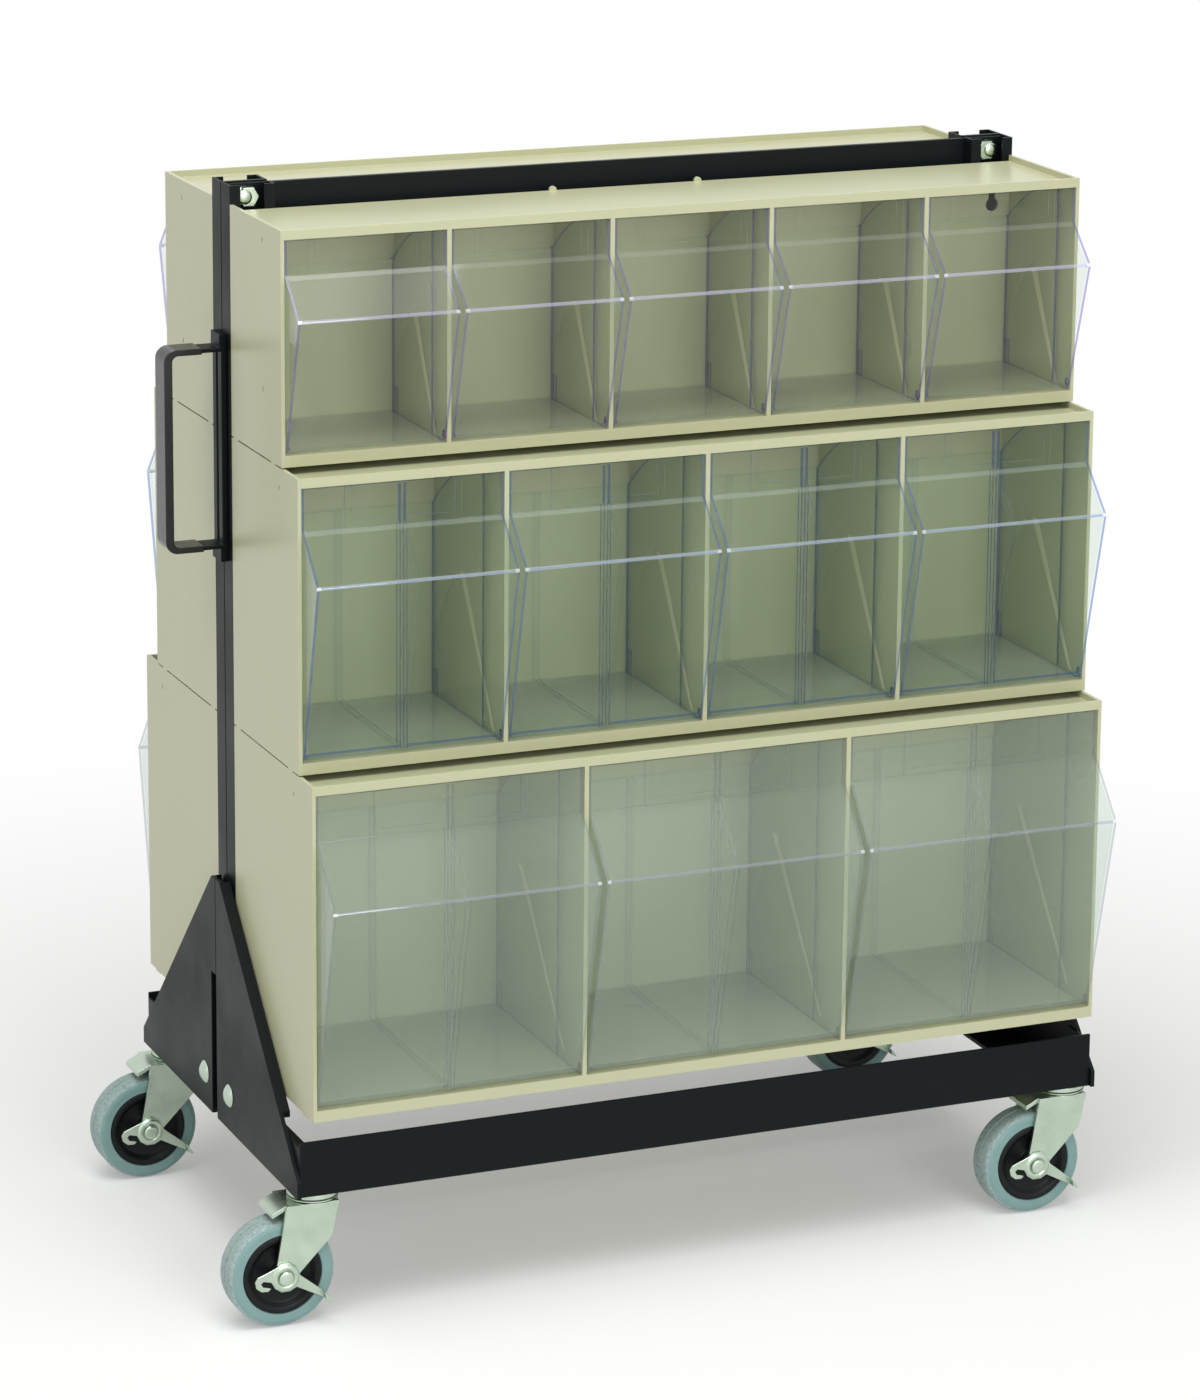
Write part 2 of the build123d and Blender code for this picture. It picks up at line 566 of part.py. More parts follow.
# The frame's bolts: hexagon bolts through the crossbar, carriage bolts through the gussets.
with BuildPart() as bolts:
    bolt_z = crossbar_bolt_z()
    front_face = crossbar_y() - CROSSBAR_THICKNESS / 2
    shank = UPRIGHT_WALL - front_face
    for side in (-1, 1):
        x = side * (SIDE - UPRIGHT_WIDTH / 2)
        for start, length in ((front_face, -FRAME_BOLT_HEAD), (UPRIGHT_WALL, FRAME_BOLT_HEAD)):
            with BuildSketch(Plane.XZ.offset(-start)):
                with Locations((x, bolt_z)):
                    RegularPolygon(FRAME_BOLT_ACROSS / 2, 6, major_radius=False)
            extrude(amount=-length)
        with Locations((x, (front_face + UPRIGHT_WALL) / 2, bolt_z)):
            Cylinder(FRAME_BOLT_RADIUS, shank, rotation=(90, 0, 0))
        for face in (-1, 1):
            y = face * CARRIAGE_SPACING / 2
            head_x = side * GUSSET_OUTER
            inner_x = side * SIDE
            with BuildSketch(Plane.XZ.offset(-y)):
                with BuildLine():
                    tip = (head_x + side * CARRIAGE_HEAD_RISE, CARRIAGE_HEIGHT)
                    edge = (head_x, CARRIAGE_HEIGHT + CARRIAGE_HEAD_RADIUS)
                    dome = (CARRIAGE_HEAD_RADIUS ** 2 / CARRIAGE_HEAD_RISE + CARRIAGE_HEAD_RISE) / 2
                    RadiusArc(edge, tip, side * dome)
                    Polyline(tip, (head_x, CARRIAGE_HEIGHT), edge)
                make_face()
            revolve(axis=Axis((0, y, CARRIAGE_HEIGHT), (1, 0, 0)))
            with Locations(((head_x + inner_x) / 2, y, CARRIAGE_HEIGHT)):
                Cylinder(FRAME_BOLT_RADIUS, GUSSET_OFFSET + GUSSET_PLATE, rotation=(0, 90, 0))
            with BuildSketch(Plane.YZ.offset(inner_x)):
                with Locations((y, CARRIAGE_HEIGHT)):
                    RegularPolygon(FRAME_BOLT_ACROSS / 2, 6, major_radius=False)
            extrude(amount=-side * FRAME_BOLT_HEAD)
save(bolts.part, "frame_bolts")

# The cabinets' screws, with the channel nuts that they draw against the uprights' lips.
with BuildPart() as screws:
    row_bottom = BASE
    for row in ROWS:
        seat_z = row_bottom + row.height - KEYHOLE_DROP + KEYHOLE_RISE
        for side in (-1, 1):
            x = side * (SIDE - UPRIGHT_WIDTH / 2)
            for face in (-1, 1):
                wall = face * (UPRIGHT_DEPTH / 2 + BACK_WALL)
                lip = face * (UPRIGHT_DEPTH / 2 - UPRIGHT_WALL)
                nut_end = lip - face * CHANNEL_NUT_THICKNESS
                with Locations((x, wall + face * SCREW_HEAD / 2, seat_z)):
                    Cylinder(SCREW_HEAD_RADIUS, SCREW_HEAD, rotation=(90, 0, 0))
                with Locations((x, (wall + nut_end) / 2, seat_z)):
                    Cylinder(SCREW_RADIUS, abs(wall - nut_end), rotation=(90, 0, 0))
                with Locations((x, (lip + nut_end) / 2, seat_z)):
                    Box(UPRIGHT_WIDTH - 2 * UPRIGHT_WALL - 2 * CHANNEL_NUT_CLEARANCE, CHANNEL_NUT_THICKNESS,
                        CHANNEL_NUT_HEIGHT)
        row_bottom += row.height + ROW_GAP
save(screws.part, "cabinet_screws")

# The handle: a bent steel strap welded to the left upright, with a moulded grip over it.
back_face = -SIDE - BACK_STRAP


def bow(reach, height, bend, arm, back):
    """Profile of a C-shaped bow that stands out from the back strap, with arms above and below."""
    with Locations((back_face, HANDLE_CENTRE)):
        RectangleRounded(2 * reach, height, bend)
        RectangleRounded(2 * (reach - back), height - 2 * arm, bend - arm, mode=Mode.SUBTRACT)
    with Locations((back_face - reach / 2, HANDLE_CENTRE)):
        Rectangle(reach, height, mode=Mode.INTERSECT)


with BuildPart() as strap:
    strap_reach = HANDLE_REACH - GRIP_SLEEVE - BACK_STRAP
    strap_height = HANDLE_HEIGHT - 2 * GRIP_SLEEVE
    full_height = strap_height + 2 * FOOT_RISE
    with BuildSketch(Plane.XZ.offset(STRAP_DEPTH / 2)):
        bow(strap_reach, strap_height, STRAP_BEND, STRAP, STRAP)
        with Locations((-SIDE - BACK_STRAP / 2, HANDLE_CENTRE)):
            Rectangle(BACK_STRAP, full_height)
        foot_z = (strap_height + FOOT_RISE) / 2
        with Locations(*[(back_face - FOOT_PROUD / 2, HANDLE_CENTRE + s * foot_z) for s in (-1, 1)]):
            Rectangle(FOOT_PROUD, FOOT_RISE)
    extrude(amount=-STRAP_DEPTH)
    with Locations((back_face, 0, HANDLE_CENTRE)):
        Box(2 * SIDE_GROOVE, BACK_GROOVE, strap_height - 2 * STRAP, mode=Mode.SUBTRACT)
save(strap.part, "handle_strap")

with BuildPart() as grip:
    with BuildSketch(Plane.XZ.offset(STRAP_DEPTH / 2 + GRIP_SLEEVE)):
        bow(HANDLE_REACH - BACK_STRAP, HANDLE_HEIGHT, STRAP_BEND + GRIP_SLEEVE,
            STRAP + 2 * GRIP_SLEEVE, STRAP + GRIP_SLEEVE + GRIP_PALM)
        # The sleeve ends short of the upright.
        bare = GRIP_END - BACK_STRAP
        with Locations((back_face - bare / 2, HANDLE_CENTRE)):
            Rectangle(bare, HANDLE_HEIGHT, mode=Mode.SUBTRACT)
    extrude(amount=-STRAP_DEPTH - 2 * GRIP_SLEEVE)
    add(strap.part, mode=Mode.SUBTRACT)
save(grip.part, "handle_grip")


# The casters, each built about its own stem's axis, with the wheel trailing to the left.

axle_z = WHEEL_RADIUS
leg_inner = FORK_GAP / 2
leg_outer = leg_inner + FORK_PLATE
race_bottom = CASTER_HEIGHT - RACE_HEIGHT
fork_top = race_bottom - SLIDE_CLEARANCE
lever_face = leg_outer + SLIDE_CLEARANCE
axle_head_face = lever_face + LEVER_PLATE + SLIDE_CLEARANCE

with BuildPart() as stem:
    with Locations((0, 0, CASTER_HEIGHT - RACE_HEIGHT / 2)):
        Cylinder(RACE_RADIUS, RACE_HEIGHT)
    with Locations((0, 0, CASTER_HEIGHT + STEM_LENGTH / 2)):
        Cylinder(STEM_RADIUS, STEM_LENGTH)
    with BuildSketch(Plane.XY.offset(FLANGE_TOP)):
        RegularPolygon(STEM_NUT_ACROSS / 2, 6, major_radius=False)
    extrude(amount=STEM_NUT_HEIGHT)
    king_bottom = fork_top - FORK_TOP_PLATE - SLIDE_CLEARANCE
    with Locations((0, 0, (race_bottom + king_bottom) / 2)):
        Cylinder(KING_RADIUS, race_bottom - king_bottom)
    with Locations((0, 0, king_bottom - KING_HEAD / 2)):
        Cylinder(KING_HEAD_RADIUS, KING_HEAD)

with BuildPart() as fork:
    with BuildSketch(Plane.XY.offset(fork_top - FORK_TOP_PLATE)):
        with Locations(((FORK_FRONT - FORK_REAR) / 2, 0)):
            Rectangle(FORK_FRONT + FORK_REAR, 2 * leg_outer)
        Circle(RACE_RADIUS)
        Circle(KING_RADIUS + RUNNING_CLEARANCE, mode=Mode.SUBTRACT)
    extrude(amount=FORK_TOP_PLATE)
    for side in (-1, 1):
        with BuildSketch(Plane.XZ.offset(side * leg_inner)):
            with BuildLine():
                # From the leg's top corners down to the round eye about the axle.
                Polyline((-FORK_REAR, fork_top), (FORK_FRONT, fork_top),
                         (FORK_FRONT - FORK_SHOULDER_IN, fork_top - FORK_SHOULDER),
                         (FORK_EYE_RADIUS * sin(radians(45)) - TRAIL,
                          axle_z - FORK_EYE_RADIUS * sin(radians(45))),
                         (-TRAIL, axle_z), (-FORK_EYE_RADIUS - TRAIL, axle_z), (-FORK_REAR, fork_top))
            make_face()
            with Locations((-TRAIL, axle_z)):
                Circle(FORK_EYE_RADIUS)
                Circle(AXLE_RADIUS, mode=Mode.SUBTRACT)
        extrude(amount=side * FORK_PLATE)
    with BuildSketch(Plane.XZ.offset(-leg_inner)):
        with BuildLine():
            Polyline((-FORK_REAR, fork_top), (-FORK_REAR - VISOR, fork_top - VISOR_DROP),
                     (-FORK_REAR - VISOR, fork_top - VISOR_DROP - FORK_TOP_PLATE),
                     (-FORK_REAR, fork_top - FORK_TOP_PLATE), (-FORK_REAR, fork_top))
        make_face()
    extrude(amount=2 * leg_inner)

with BuildPart() as axle:
    with Locations((-TRAIL, (leg_outer - axle_head_face) / 2, axle_z)):
        Cylinder(AXLE_RADIUS, leg_outer + axle_head_face, rotation=(90, 0, 0))
    with Locations((-TRAIL, -axle_head_face - AXLE_HEAD / 2, axle_z),
                   (-TRAIL, leg_outer + AXLE_HEAD / 2, axle_z)):
        Cylinder(AXLE_HEAD_RADIUS, AXLE_HEAD, rotation=(90, 0, 0))

with BuildPart() as hub:
    # Half section beside the wheel's middle plane: radius along X, half width along Z.
    half_tyre = TYRE_WIDTH / 2
    with BuildSketch(Plane.XY):
        with BuildLine():
            bore = AXLE_RADIUS + RUNNING_CLEARANCE
            Polyline((bore, 0), (HUB_RADIUS, 0), (HUB_RADIUS, half_tyre), (HUB_RADIUS - HUB_RIM, half_tyre),
                     (HUB_RADIUS - HUB_RIM - HUB_DISH / 2, half_tyre - HUB_DISH),
                     (HUB_BOSS_RADIUS, half_tyre - HUB_DISH), (HUB_BOSS_RADIUS, HUB_BOSS_WIDTH / 2),
                     (bore, HUB_BOSS_WIDTH / 2), (bore, 0))
        make_face()
        mirror(about=Plane.XZ)
    revolve(axis=Axis.Y)

with BuildPart() as tyre:
    with BuildSketch(Plane.XY) as tread:
        with Locations(((HUB_RADIUS + WHEEL_RADIUS) / 2, 0)):
            Rectangle(WHEEL_RADIUS - HUB_RADIUS, TYRE_WIDTH)
        fillet(tread.vertices().group_by(Axis.X)[-1], TYRE_ROUND)
        with Locations((WHEEL_RADIUS, 0)):
            Rectangle(2 * TREAD_GROOVE, TREAD_GROOVE, mode=Mode.SUBTRACT)
    revolve(axis=Axis.Y)

with BuildPart() as lever:
    # Two tapered arms from a round boss on the axle, each with a toe tab bent outward.
    arms = ((LEVER_PEDAL_REACH, 0), (LEVER_HOOK_REACH, LEVER_BEND - 180))
    with BuildSketch(Plane.XZ.offset(lever_face)):
        Circle(LEVER_BOSS_RADIUS)
        for reach, turn in arms:
            with Locations(Location((0, 0, 0), (0, 0, turn))):
                Polygon((0, -LEVER_ROOT_WIDTH / 2), (reach, -LEVER_TIP_WIDTH / 2),
                        (reach, LEVER_TIP_WIDTH / 2), (0, LEVER_ROOT_WIDTH / 2), align=None)
        Circle(AXLE_RADIUS + RUNNING_CLEARANCE, mode=Mode.SUBTRACT)
    extrude(amount=LEVER_PLATE)
    tab_y = -lever_face - LEVER_TAB / 2
    for reach, turn in arms:
        with Locations(Location((0, 0, 0), (0, -turn, 0)) * Location((reach - LEVER_PLATE / 2, tab_y, 0))):
            Box(LEVER_PLATE, LEVER_TAB, LEVER_TIP_WIDTH)

wheel_place = Location((-TRAIL, 0, axle_z))
lever_place = wheel_place * Location((0, 0, 0), (0, LEVER_DROP, 0))
stems = []
for face, y in (("front", -STEM_REACH), ("back", STEM_REACH)):
    for side, x in (("left", -STEM_X), ("right", STEM_X)):
        place = Location((x, y, 0))
        name = f"{face}_{side}_caster"
        stems.append(stem.part.moved(place))
        save(Compound([fork.part.moved(place), axle.part.moved(place)]), f"{name}_fork")
        save(hub.part.moved(place * wheel_place), f"{name}_hub")
        save(tyre.part.moved(place * wheel_place), f"{name}_tyre")
        save(lever.part.moved(place * lever_place), f"{name}_brake_lever")
save(Compound(stems), "caster_stems")
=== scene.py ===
"""The looks of a tilt-out bin floor stand: clear bins in beige cabinets on a wheeled black frame."""
import json
import math

import bmesh
import bpy
from mathutils import Matrix, Vector

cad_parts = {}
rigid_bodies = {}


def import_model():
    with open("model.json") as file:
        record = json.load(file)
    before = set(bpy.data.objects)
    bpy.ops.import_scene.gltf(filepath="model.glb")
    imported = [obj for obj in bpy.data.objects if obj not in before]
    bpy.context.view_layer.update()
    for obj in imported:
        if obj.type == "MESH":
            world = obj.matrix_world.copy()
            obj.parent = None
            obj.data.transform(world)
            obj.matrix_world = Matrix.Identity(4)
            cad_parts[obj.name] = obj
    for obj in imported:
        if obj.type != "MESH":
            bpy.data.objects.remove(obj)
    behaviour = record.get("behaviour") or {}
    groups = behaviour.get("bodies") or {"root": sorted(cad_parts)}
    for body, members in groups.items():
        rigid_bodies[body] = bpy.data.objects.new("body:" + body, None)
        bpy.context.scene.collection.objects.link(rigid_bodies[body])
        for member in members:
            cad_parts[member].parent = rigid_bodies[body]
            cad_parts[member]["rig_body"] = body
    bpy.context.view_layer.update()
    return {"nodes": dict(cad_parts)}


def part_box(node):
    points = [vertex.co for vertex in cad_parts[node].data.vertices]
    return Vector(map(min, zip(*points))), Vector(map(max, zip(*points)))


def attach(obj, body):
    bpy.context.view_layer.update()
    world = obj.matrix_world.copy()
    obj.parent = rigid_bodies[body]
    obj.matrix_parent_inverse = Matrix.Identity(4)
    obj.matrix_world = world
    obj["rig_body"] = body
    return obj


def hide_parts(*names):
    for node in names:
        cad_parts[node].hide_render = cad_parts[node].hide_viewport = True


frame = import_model()
nodes = frame["nodes"]
MM = 0.001


# The casters' forks are stamped steel, folded over the wheel and plated with bright zinc, a little cloudy.
# The die rounds every edge, and the plating gathers small differences in gloss.

def shader_material(name, colour=None, roughness=None, metallic=0.0, specular=0.5):
    """A material with one Principled shader; returns it with its node tree and that shader.

    A colour or a roughness that isn't given here is linked to a pattern afterwards.
    """
    material = bpy.data.materials.new(name)
    material.use_nodes = True
    tree = material.node_tree
    shader = tree.nodes["Principled BSDF"]
    if colour:
        shader.inputs["Base Color"].default_value = (*colour, 1)
    if roughness:
        shader.inputs["Roughness"].default_value = roughness
    shader.inputs["Metallic"].default_value = metallic
    shader.inputs["Specular IOR Level"].default_value = specular
    return material, tree, shader


def object_noise(tree, scale, detail=3.0):
    """A noise texture fixed to the piece, with the given number of features a metre."""
    place = tree.nodes.new("ShaderNodeTexCoord")
    noise = tree.nodes.new("ShaderNodeTexNoise")
    noise.inputs["Scale"].default_value = scale
    noise.inputs["Detail"].default_value = detail
    tree.links.new(place.outputs["Object"], noise.inputs["Vector"])
    return noise.outputs["Fac"]


def spread(tree, factor, low, high):
    """The factor mapped from the middle of its range onto low to high."""
    ramp = tree.nodes.new("ShaderNodeMapRange")
    ramp.inputs["From Min"].default_value = 0.3
    ramp.inputs["From Max"].default_value = 0.7
    ramp.inputs["To Min"].default_value = low
    ramp.inputs["To Max"].default_value = high
    tree.links.new(factor, ramp.inputs["Value"])
    return ramp.outputs["Result"]


def colour_between(tree, factor, dark, light):
    """A colour that runs from dark to light with the factor."""
    mix = tree.nodes.new("ShaderNodeMix")
    mix.data_type = "RGBA"
    mix.inputs["A"].default_value = (*dark, 1)
    mix.inputs["B"].default_value = (*light, 1)
    tree.links.new(factor, mix.inputs["Factor"])
    return mix.outputs["Result"]


def fine_bump(tree, shader, height, strength, depth):
    """Small relief from a height pattern, depth in metres."""
    bump = tree.nodes.new("ShaderNodeBump")
    bump.inputs["Strength"].default_value = strength
    bump.inputs["Distance"].default_value = depth
    tree.links.new(height, bump.inputs["Height"])
    tree.links.new(bump.outputs["Normal"], shader.inputs["Normal"])


def new_piece(name, mesh):
    piece = bpy.data.objects.new(name, mesh)
    bpy.context.scene.collection.objects.link(piece)
    return piece


def round_edges(piece, width):
    """Round every edge between faces that turn by more than 35 degrees."""
    bevel = piece.modifiers.new("round_edges", "BEVEL")
    bevel.width = width
    bevel.segments = 2
    bevel.limit_method = "ANGLE"
    bevel.angle_limit = math.radians(35)
    return bevel


def finished(piece):
    """Give the piece the mesh that its modifiers make of it, and take them off."""
    graph = bpy.context.evaluated_depsgraph_get()
    mesh = bpy.data.meshes.new_from_object(piece.evaluated_get(graph))
    piece.modifiers.clear()
    piece.data = mesh
    return piece


def softened(name, width, *materials, prepare=None, smooth=True):
    """A copy of a node with its flat faces made whole and its edges rounded off.

    The rounded edges take the second material, where there is one.
    """
    mesh = nodes[name].data.copy()
    mesh.name = name + "_soft"
    shape = bmesh.new()
    shape.from_mesh(mesh)
    bmesh.ops.remove_doubles(shape, verts=shape.verts, dist=1e-6)
    bmesh.ops.dissolve_limit(shape, angle_limit=math.radians(0.3), verts=shape.verts, edges=shape.edges)
    for face in shape.faces:
        face.material_index = 0
        face.smooth = smooth
    if prepare:
        prepare(shape)
    mesh.materials.clear()
    for material in materials:
        mesh.materials.append(material)
    shape.to_mesh(mesh)
    shape.free()
    piece = new_piece(name + "_soft", mesh)
    round_edges(piece, width).material = min(1, len(materials) - 1)
    if smooth:
        mesh.set_sharp_from_angle(angle=math.radians(80))
        flat = piece.modifiers.new("keep_faces_flat", "WEIGHTED_NORMAL")
        flat.keep_sharp = True
    finished(piece)
    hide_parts(name)
    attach(piece, nodes[name]["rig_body"])
    return piece


zinc, tree, shader = shader_material("zinc_plate", metallic=1.0)
clouds = object_noise(tree, 60.0)
tree.links.new(colour_between(tree, clouds, (0.42, 0.52, 0.42), (0.56, 0.66, 0.54)),
               shader.inputs["Base Color"])
tree.links.new(spread(tree, clouds, 0.22, 0.42), shader.inputs["Roughness"])
CASTERS = ["front_left_caster", "front_right_caster", "back_left_caster", "back_right_caster"]
FORK_EDGE = 1.0
for caster in CASTERS:
    softened(caster + "_fork", FORK_EDGE * MM, zinc)


# The wheels: a grey rubber tyre, with rounded shoulders and a groove, is pressed on a black nylon hub.
# The tread is scuffed dark from rolling, and its sides stay clean.

def turned(name, outline, centre, axis, steps, *materials):
    """A closed ring turned about an axis; outline lists (radius, height, material) in mm, all round."""
    shape = bmesh.new()
    along = Vector(axis)
    out = along.orthogonal().normalized()
    rings = []
    for step in range(steps):
        spoke = Matrix.Rotation(math.tau * step / steps, 3, along) @ out
        rings.append([shape.verts.new(Vector(centre) + spoke * (r * MM) + along * (h * MM))
                      for r, h, m in outline])
    for step in range(steps):
        here, there = rings[step], rings[(step + 1) % steps]
        for i in range(len(outline)):
            k = (i + 1) % len(outline)
            face = shape.faces.new((here[i], here[k], there[k], there[i]))
            face.material_index = outline[i][2]
            face.smooth = True
    bmesh.ops.recalc_face_normals(shape, faces=shape.faces)
    mesh = bpy.data.meshes.new(name)
    shape.to_mesh(mesh)
    shape.free()
    for material in materials:
        mesh.materials.append(material)
    mesh.set_sharp_from_angle(angle=math.radians(40))
    return new_piece(name, mesh)


def both_sides(half):
    """An outline from its half on the positive side, run back as its mirror image."""
    return half + [(r, -h, m) for r, h, m in reversed(half)]


rubber, tree, shader = shader_material("grey_rubber", roughness=0.5)
smudges = object_noise(tree, 90.0)
tree.links.new(colour_between(tree, smudges, (0.17, 0.30, 0.29), (0.22, 0.36, 0.35)),
               shader.inputs["Base Color"])

tread, tree, shader = shader_material("scuffed_tread", roughness=0.65)
specks = object_noise(tree, 420.0, 6.0)
tree.links.new(colour_between(tree, spread(tree, specks, 0.2, 1.6), (0.17, 0.24, 0.24), (0.33, 0.43, 0.42)),
               shader.inputs["Base Color"])
fine_bump(tree, shader, specks, 0.3, 0.0003)

nylon, tree, shader = shader_material("black_nylon", (0.004, 0.005, 0.006), specular=0.22)
grain = object_noise(tree, 500.0)
tree.links.new(spread(tree, grain, 0.34, 0.5), shader.inputs["Roughness"])

WHEEL_RADIUS = 38.5
HUB_RADIUS = 28.5
HALF_TYRE = 12.5
SHOULDER = 5.0           # radius of the tyre's rounded corners
SIDE, TREAD = 0, 1
tyre_side = [(HUB_RADIUS, HALF_TYRE - 1.2, SIDE), (HUB_RADIUS + 0.5, HALF_TYRE - 0.2, SIDE),
             (HUB_RADIUS + 1.2, HALF_TYRE, SIDE), (HUB_RADIUS + 2.4, HALF_TYRE - 0.3, SIDE),
             (WHEEL_RADIUS - SHOULDER - 0.6, HALF_TYRE, SIDE)]
for step in range(6):
    turn = math.radians(90 * step / 5)
    tyre_side.append((WHEEL_RADIUS - SHOULDER + SHOULDER * math.sin(turn),
                      HALF_TYRE - SHOULDER + SHOULDER * math.cos(turn),
                      TREAD if step >= 3 else SIDE))
tyre_side += [(WHEEL_RADIUS, 0.9, TREAD), (WHEEL_RADIUS - 0.8, 0.5, TREAD)]
hub_side = [(4.1, 13.4, 0), (8.4, 13.4, 0), (9.0, 12.9, 0), (9.6, 9.0, 0), (10.6, 8.5, 0), (20.4, 8.5, 0),
            (21.6, 8.9, 0), (23.8, 11.7, 0), (25.0, 12.4, 0), (27.6, 12.4, 0), (28.3, 12.0, 0),
            (28.4, 11.2, 0)]
WHEEL_STEPS = 96
for caster in CASTERS:
    low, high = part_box(caster + "_tyre")
    centre = (Vector(low) + Vector(high)) / 2
    tyre = turned(caster + "_soft_tyre", both_sides(tyre_side), centre, (0, 1, 0), WHEEL_STEPS,
                  rubber, tread)
    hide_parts(caster + "_tyre")
    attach(tyre, nodes[caster + "_tyre"]["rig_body"])
    hub = turned(caster + "_moulded_hub", both_sides(hub_side), centre, (0, 1, 0), WHEEL_STEPS, nylon)
    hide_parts(caster + "_hub")
    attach(hub, nodes[caster + "_hub"]["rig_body"])


# The brake levers are pressed plates that rock on the axle, with a pedal and a hooked end.
# A raised boss is pressed round the axle's rivet, and the rivet's head is spun over flat.

def pressed_plate(name, outline, centre, near, far, edge, material):
    """A flat plate across Y with the given outline (x, z) in mm from its centre, its edges rounded."""
    shape = bmesh.new()
    start = Vector(centre)
    back = shape.faces.new([shape.verts.new(start + Vector((x, -near, z)) * MM) for x, z in outline])
    grown = bmesh.ops.extrude_face_region(shape, geom=[back])
    moved = [v for v in grown["geom"] if isinstance(v, bmesh.types.BMVert)]
    bmesh.ops.translate(shape, verts=moved, vec=(0, (near - far) * MM, 0))
    bmesh.ops.recalc_face_normals(shape, faces=shape.faces)
    for face in shape.faces:
        face.smooth = True
    mesh = bpy.data.meshes.new(name)
    shape.to_mesh(mesh)
    shape.free()
    mesh.materials.append(material)
    piece = new_piece(name, mesh)
    round_edges(piece, edge * MM)
    piece.modifiers.new("keep_faces_flat", "WEIGHTED_NORMAL")
    return finished(piece)


LEVER_BACK = 16.8        # from the wheel's middle plane, and so are the next three
LEVER_FACE = 18.8
RIVET_FACE = 20.7
PEDAL_OUT = 25.0
LEVER_EDGE = 0.5
PEDAL_EDGE = 0.4
RIVET_STEPS = 48
lever_outline = [(-7, 8), (-14, 5.2), (-20.5, 2.8), (-22.4, -0.5), (-21.4, -5), (-17.6, -8), (-12.8, -8.3),
                 (-10.6, -6.4), (-13, -5.4), (-16.4, -4.6), (-17.8, -2.2), (-16.2, -0.6), (-10.5, -2.0),
                 (-7.8, -7), (-3, -10.2), (3, -10.2), (8, -7.6), (18, -13), (27, -17.6), (29.6, -17.8),
                 (29.4, -15), (20, -7), (10.8, 0.5), (8.4, 6.5), (3, 10.4), (-3, 10.4)]
pedal_outline = [(26.4, -12.6), (28.0, -13.6), (31.6, -18.6), (30.2, -19.2), (27.2, -17.4)]
boss = [(10.0, -0.3, 0), (9.7, 0.2, 0), (8.8, 0.9, 0), (7.6, 1.2, 0), (6.4, 1.0, 0), (5.5, 0.3, 0),
        (5.4, -0.3, 0)]
rivet = [(0.01, -0.4, 0), (4.9, -0.4, 0), (5.1, 0.1, 0), (4.6, 0.7, 0), (3.8, 0.9, 0), (0.01, 0.8, 0)]
for caster in CASTERS:
    low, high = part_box(caster + "_hub")
    centre = (Vector(low) + Vector(high)) / 2
    node = caster + "_brake_lever"
    lever = pressed_plate(caster + "_lever_plate", lever_outline, centre, LEVER_BACK, LEVER_FACE,
                          LEVER_EDGE, zinc)
    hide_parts(node)
    pedal = pressed_plate(caster + "_lever_pedal", pedal_outline, centre, LEVER_BACK, PEDAL_OUT,
                          PEDAL_EDGE, zinc)
    ring = turned(caster + "_pressed_boss", boss, centre - Vector((0, LEVER_FACE * MM, 0)), (0, -1, 0),
                  RIVET_STEPS, zinc)
    for piece in (lever, pedal, ring):
        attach(piece, nodes[node]["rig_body"])
    stud = turned(caster + "_axle_rivet", rivet, centre - Vector((0, RIVET_FACE * MM, 0)), (0, -1, 0),
                  RIVET_STEPS, zinc)
    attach(stud, nodes[caster + "_fork"]["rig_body"])


# The casters' stems are turned, plated steel, each with a race that the fork swivels under on balls.
# A dark line runs round the race's ball track.

STEM_EDGE = 0.5
softened("caster_stems", STEM_EDGE * MM, zinc)
dark_track = shader_material("dark_track_line", (0.02, 0.02, 0.018), 0.5)[0]
RACE_RADIUS = 18.0
TRAIL = 26.0             # from the axle to the stem
TRACK_HEIGHT = 91.4      # over the floor
TRACK_STEPS = 64
track = [(RACE_RADIUS - 0.5, -0.7, 0), (RACE_RADIUS + 0.15, -0.5, 0), (RACE_RADIUS + 0.15, 0.5, 0),
         (RACE_RADIUS - 0.5, 0.7, 0)]
for caster in CASTERS:
    low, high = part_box(caster + "_hub")
    centre = (Vector(low) + Vector(high)) / 2 + Vector((TRAIL * MM, 0, 0))
    centre.z = TRACK_HEIGHT * MM
    line = turned(caster + "_ball_track", track, centre, (0, 0, 1), TRACK_STEPS, dark_track)
    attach(line, nodes["caster_stems"]["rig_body"])


# The frame is folded and cut steel with a fine black powder coat.
# Its faces look nearly black from the front, and catch a grey sheen where they are looked along.

coat, tree, shader = shader_material("black_powder_coat", (0.004, 0.006, 0.007), specular=0.13)
grain = object_noise(tree, 900.0, 2.0)
fine_bump(tree, shader, grain, 0.12, 0.0002)
clouds = object_noise(tree, 14.0)
tree.links.new(spread(tree, clouds, 0.36, 0.5), shader.inputs["Roughness"])
FOLDED_EDGE = 0.5
for name in [n for n in nodes if n.endswith(("_gusset", "_rail", "_upright")) or n == "top_crossbar"]:
    softened(name, FOLDED_EDGE * MM, coat)


# The frame's bolts are zinc plated: domed carriage bolts through the gussets, and hexagon bolts through the
# crossbar, each with a thick round flange under its head and a shallow dome on top.

def points_at(name, places):
    """A piece that is only points, for heads or ribs to be set on."""
    mesh = bpy.data.meshes.new(name)
    mesh.from_pydata([tuple(p) for p in places], [], [])
    return new_piece(name, mesh)


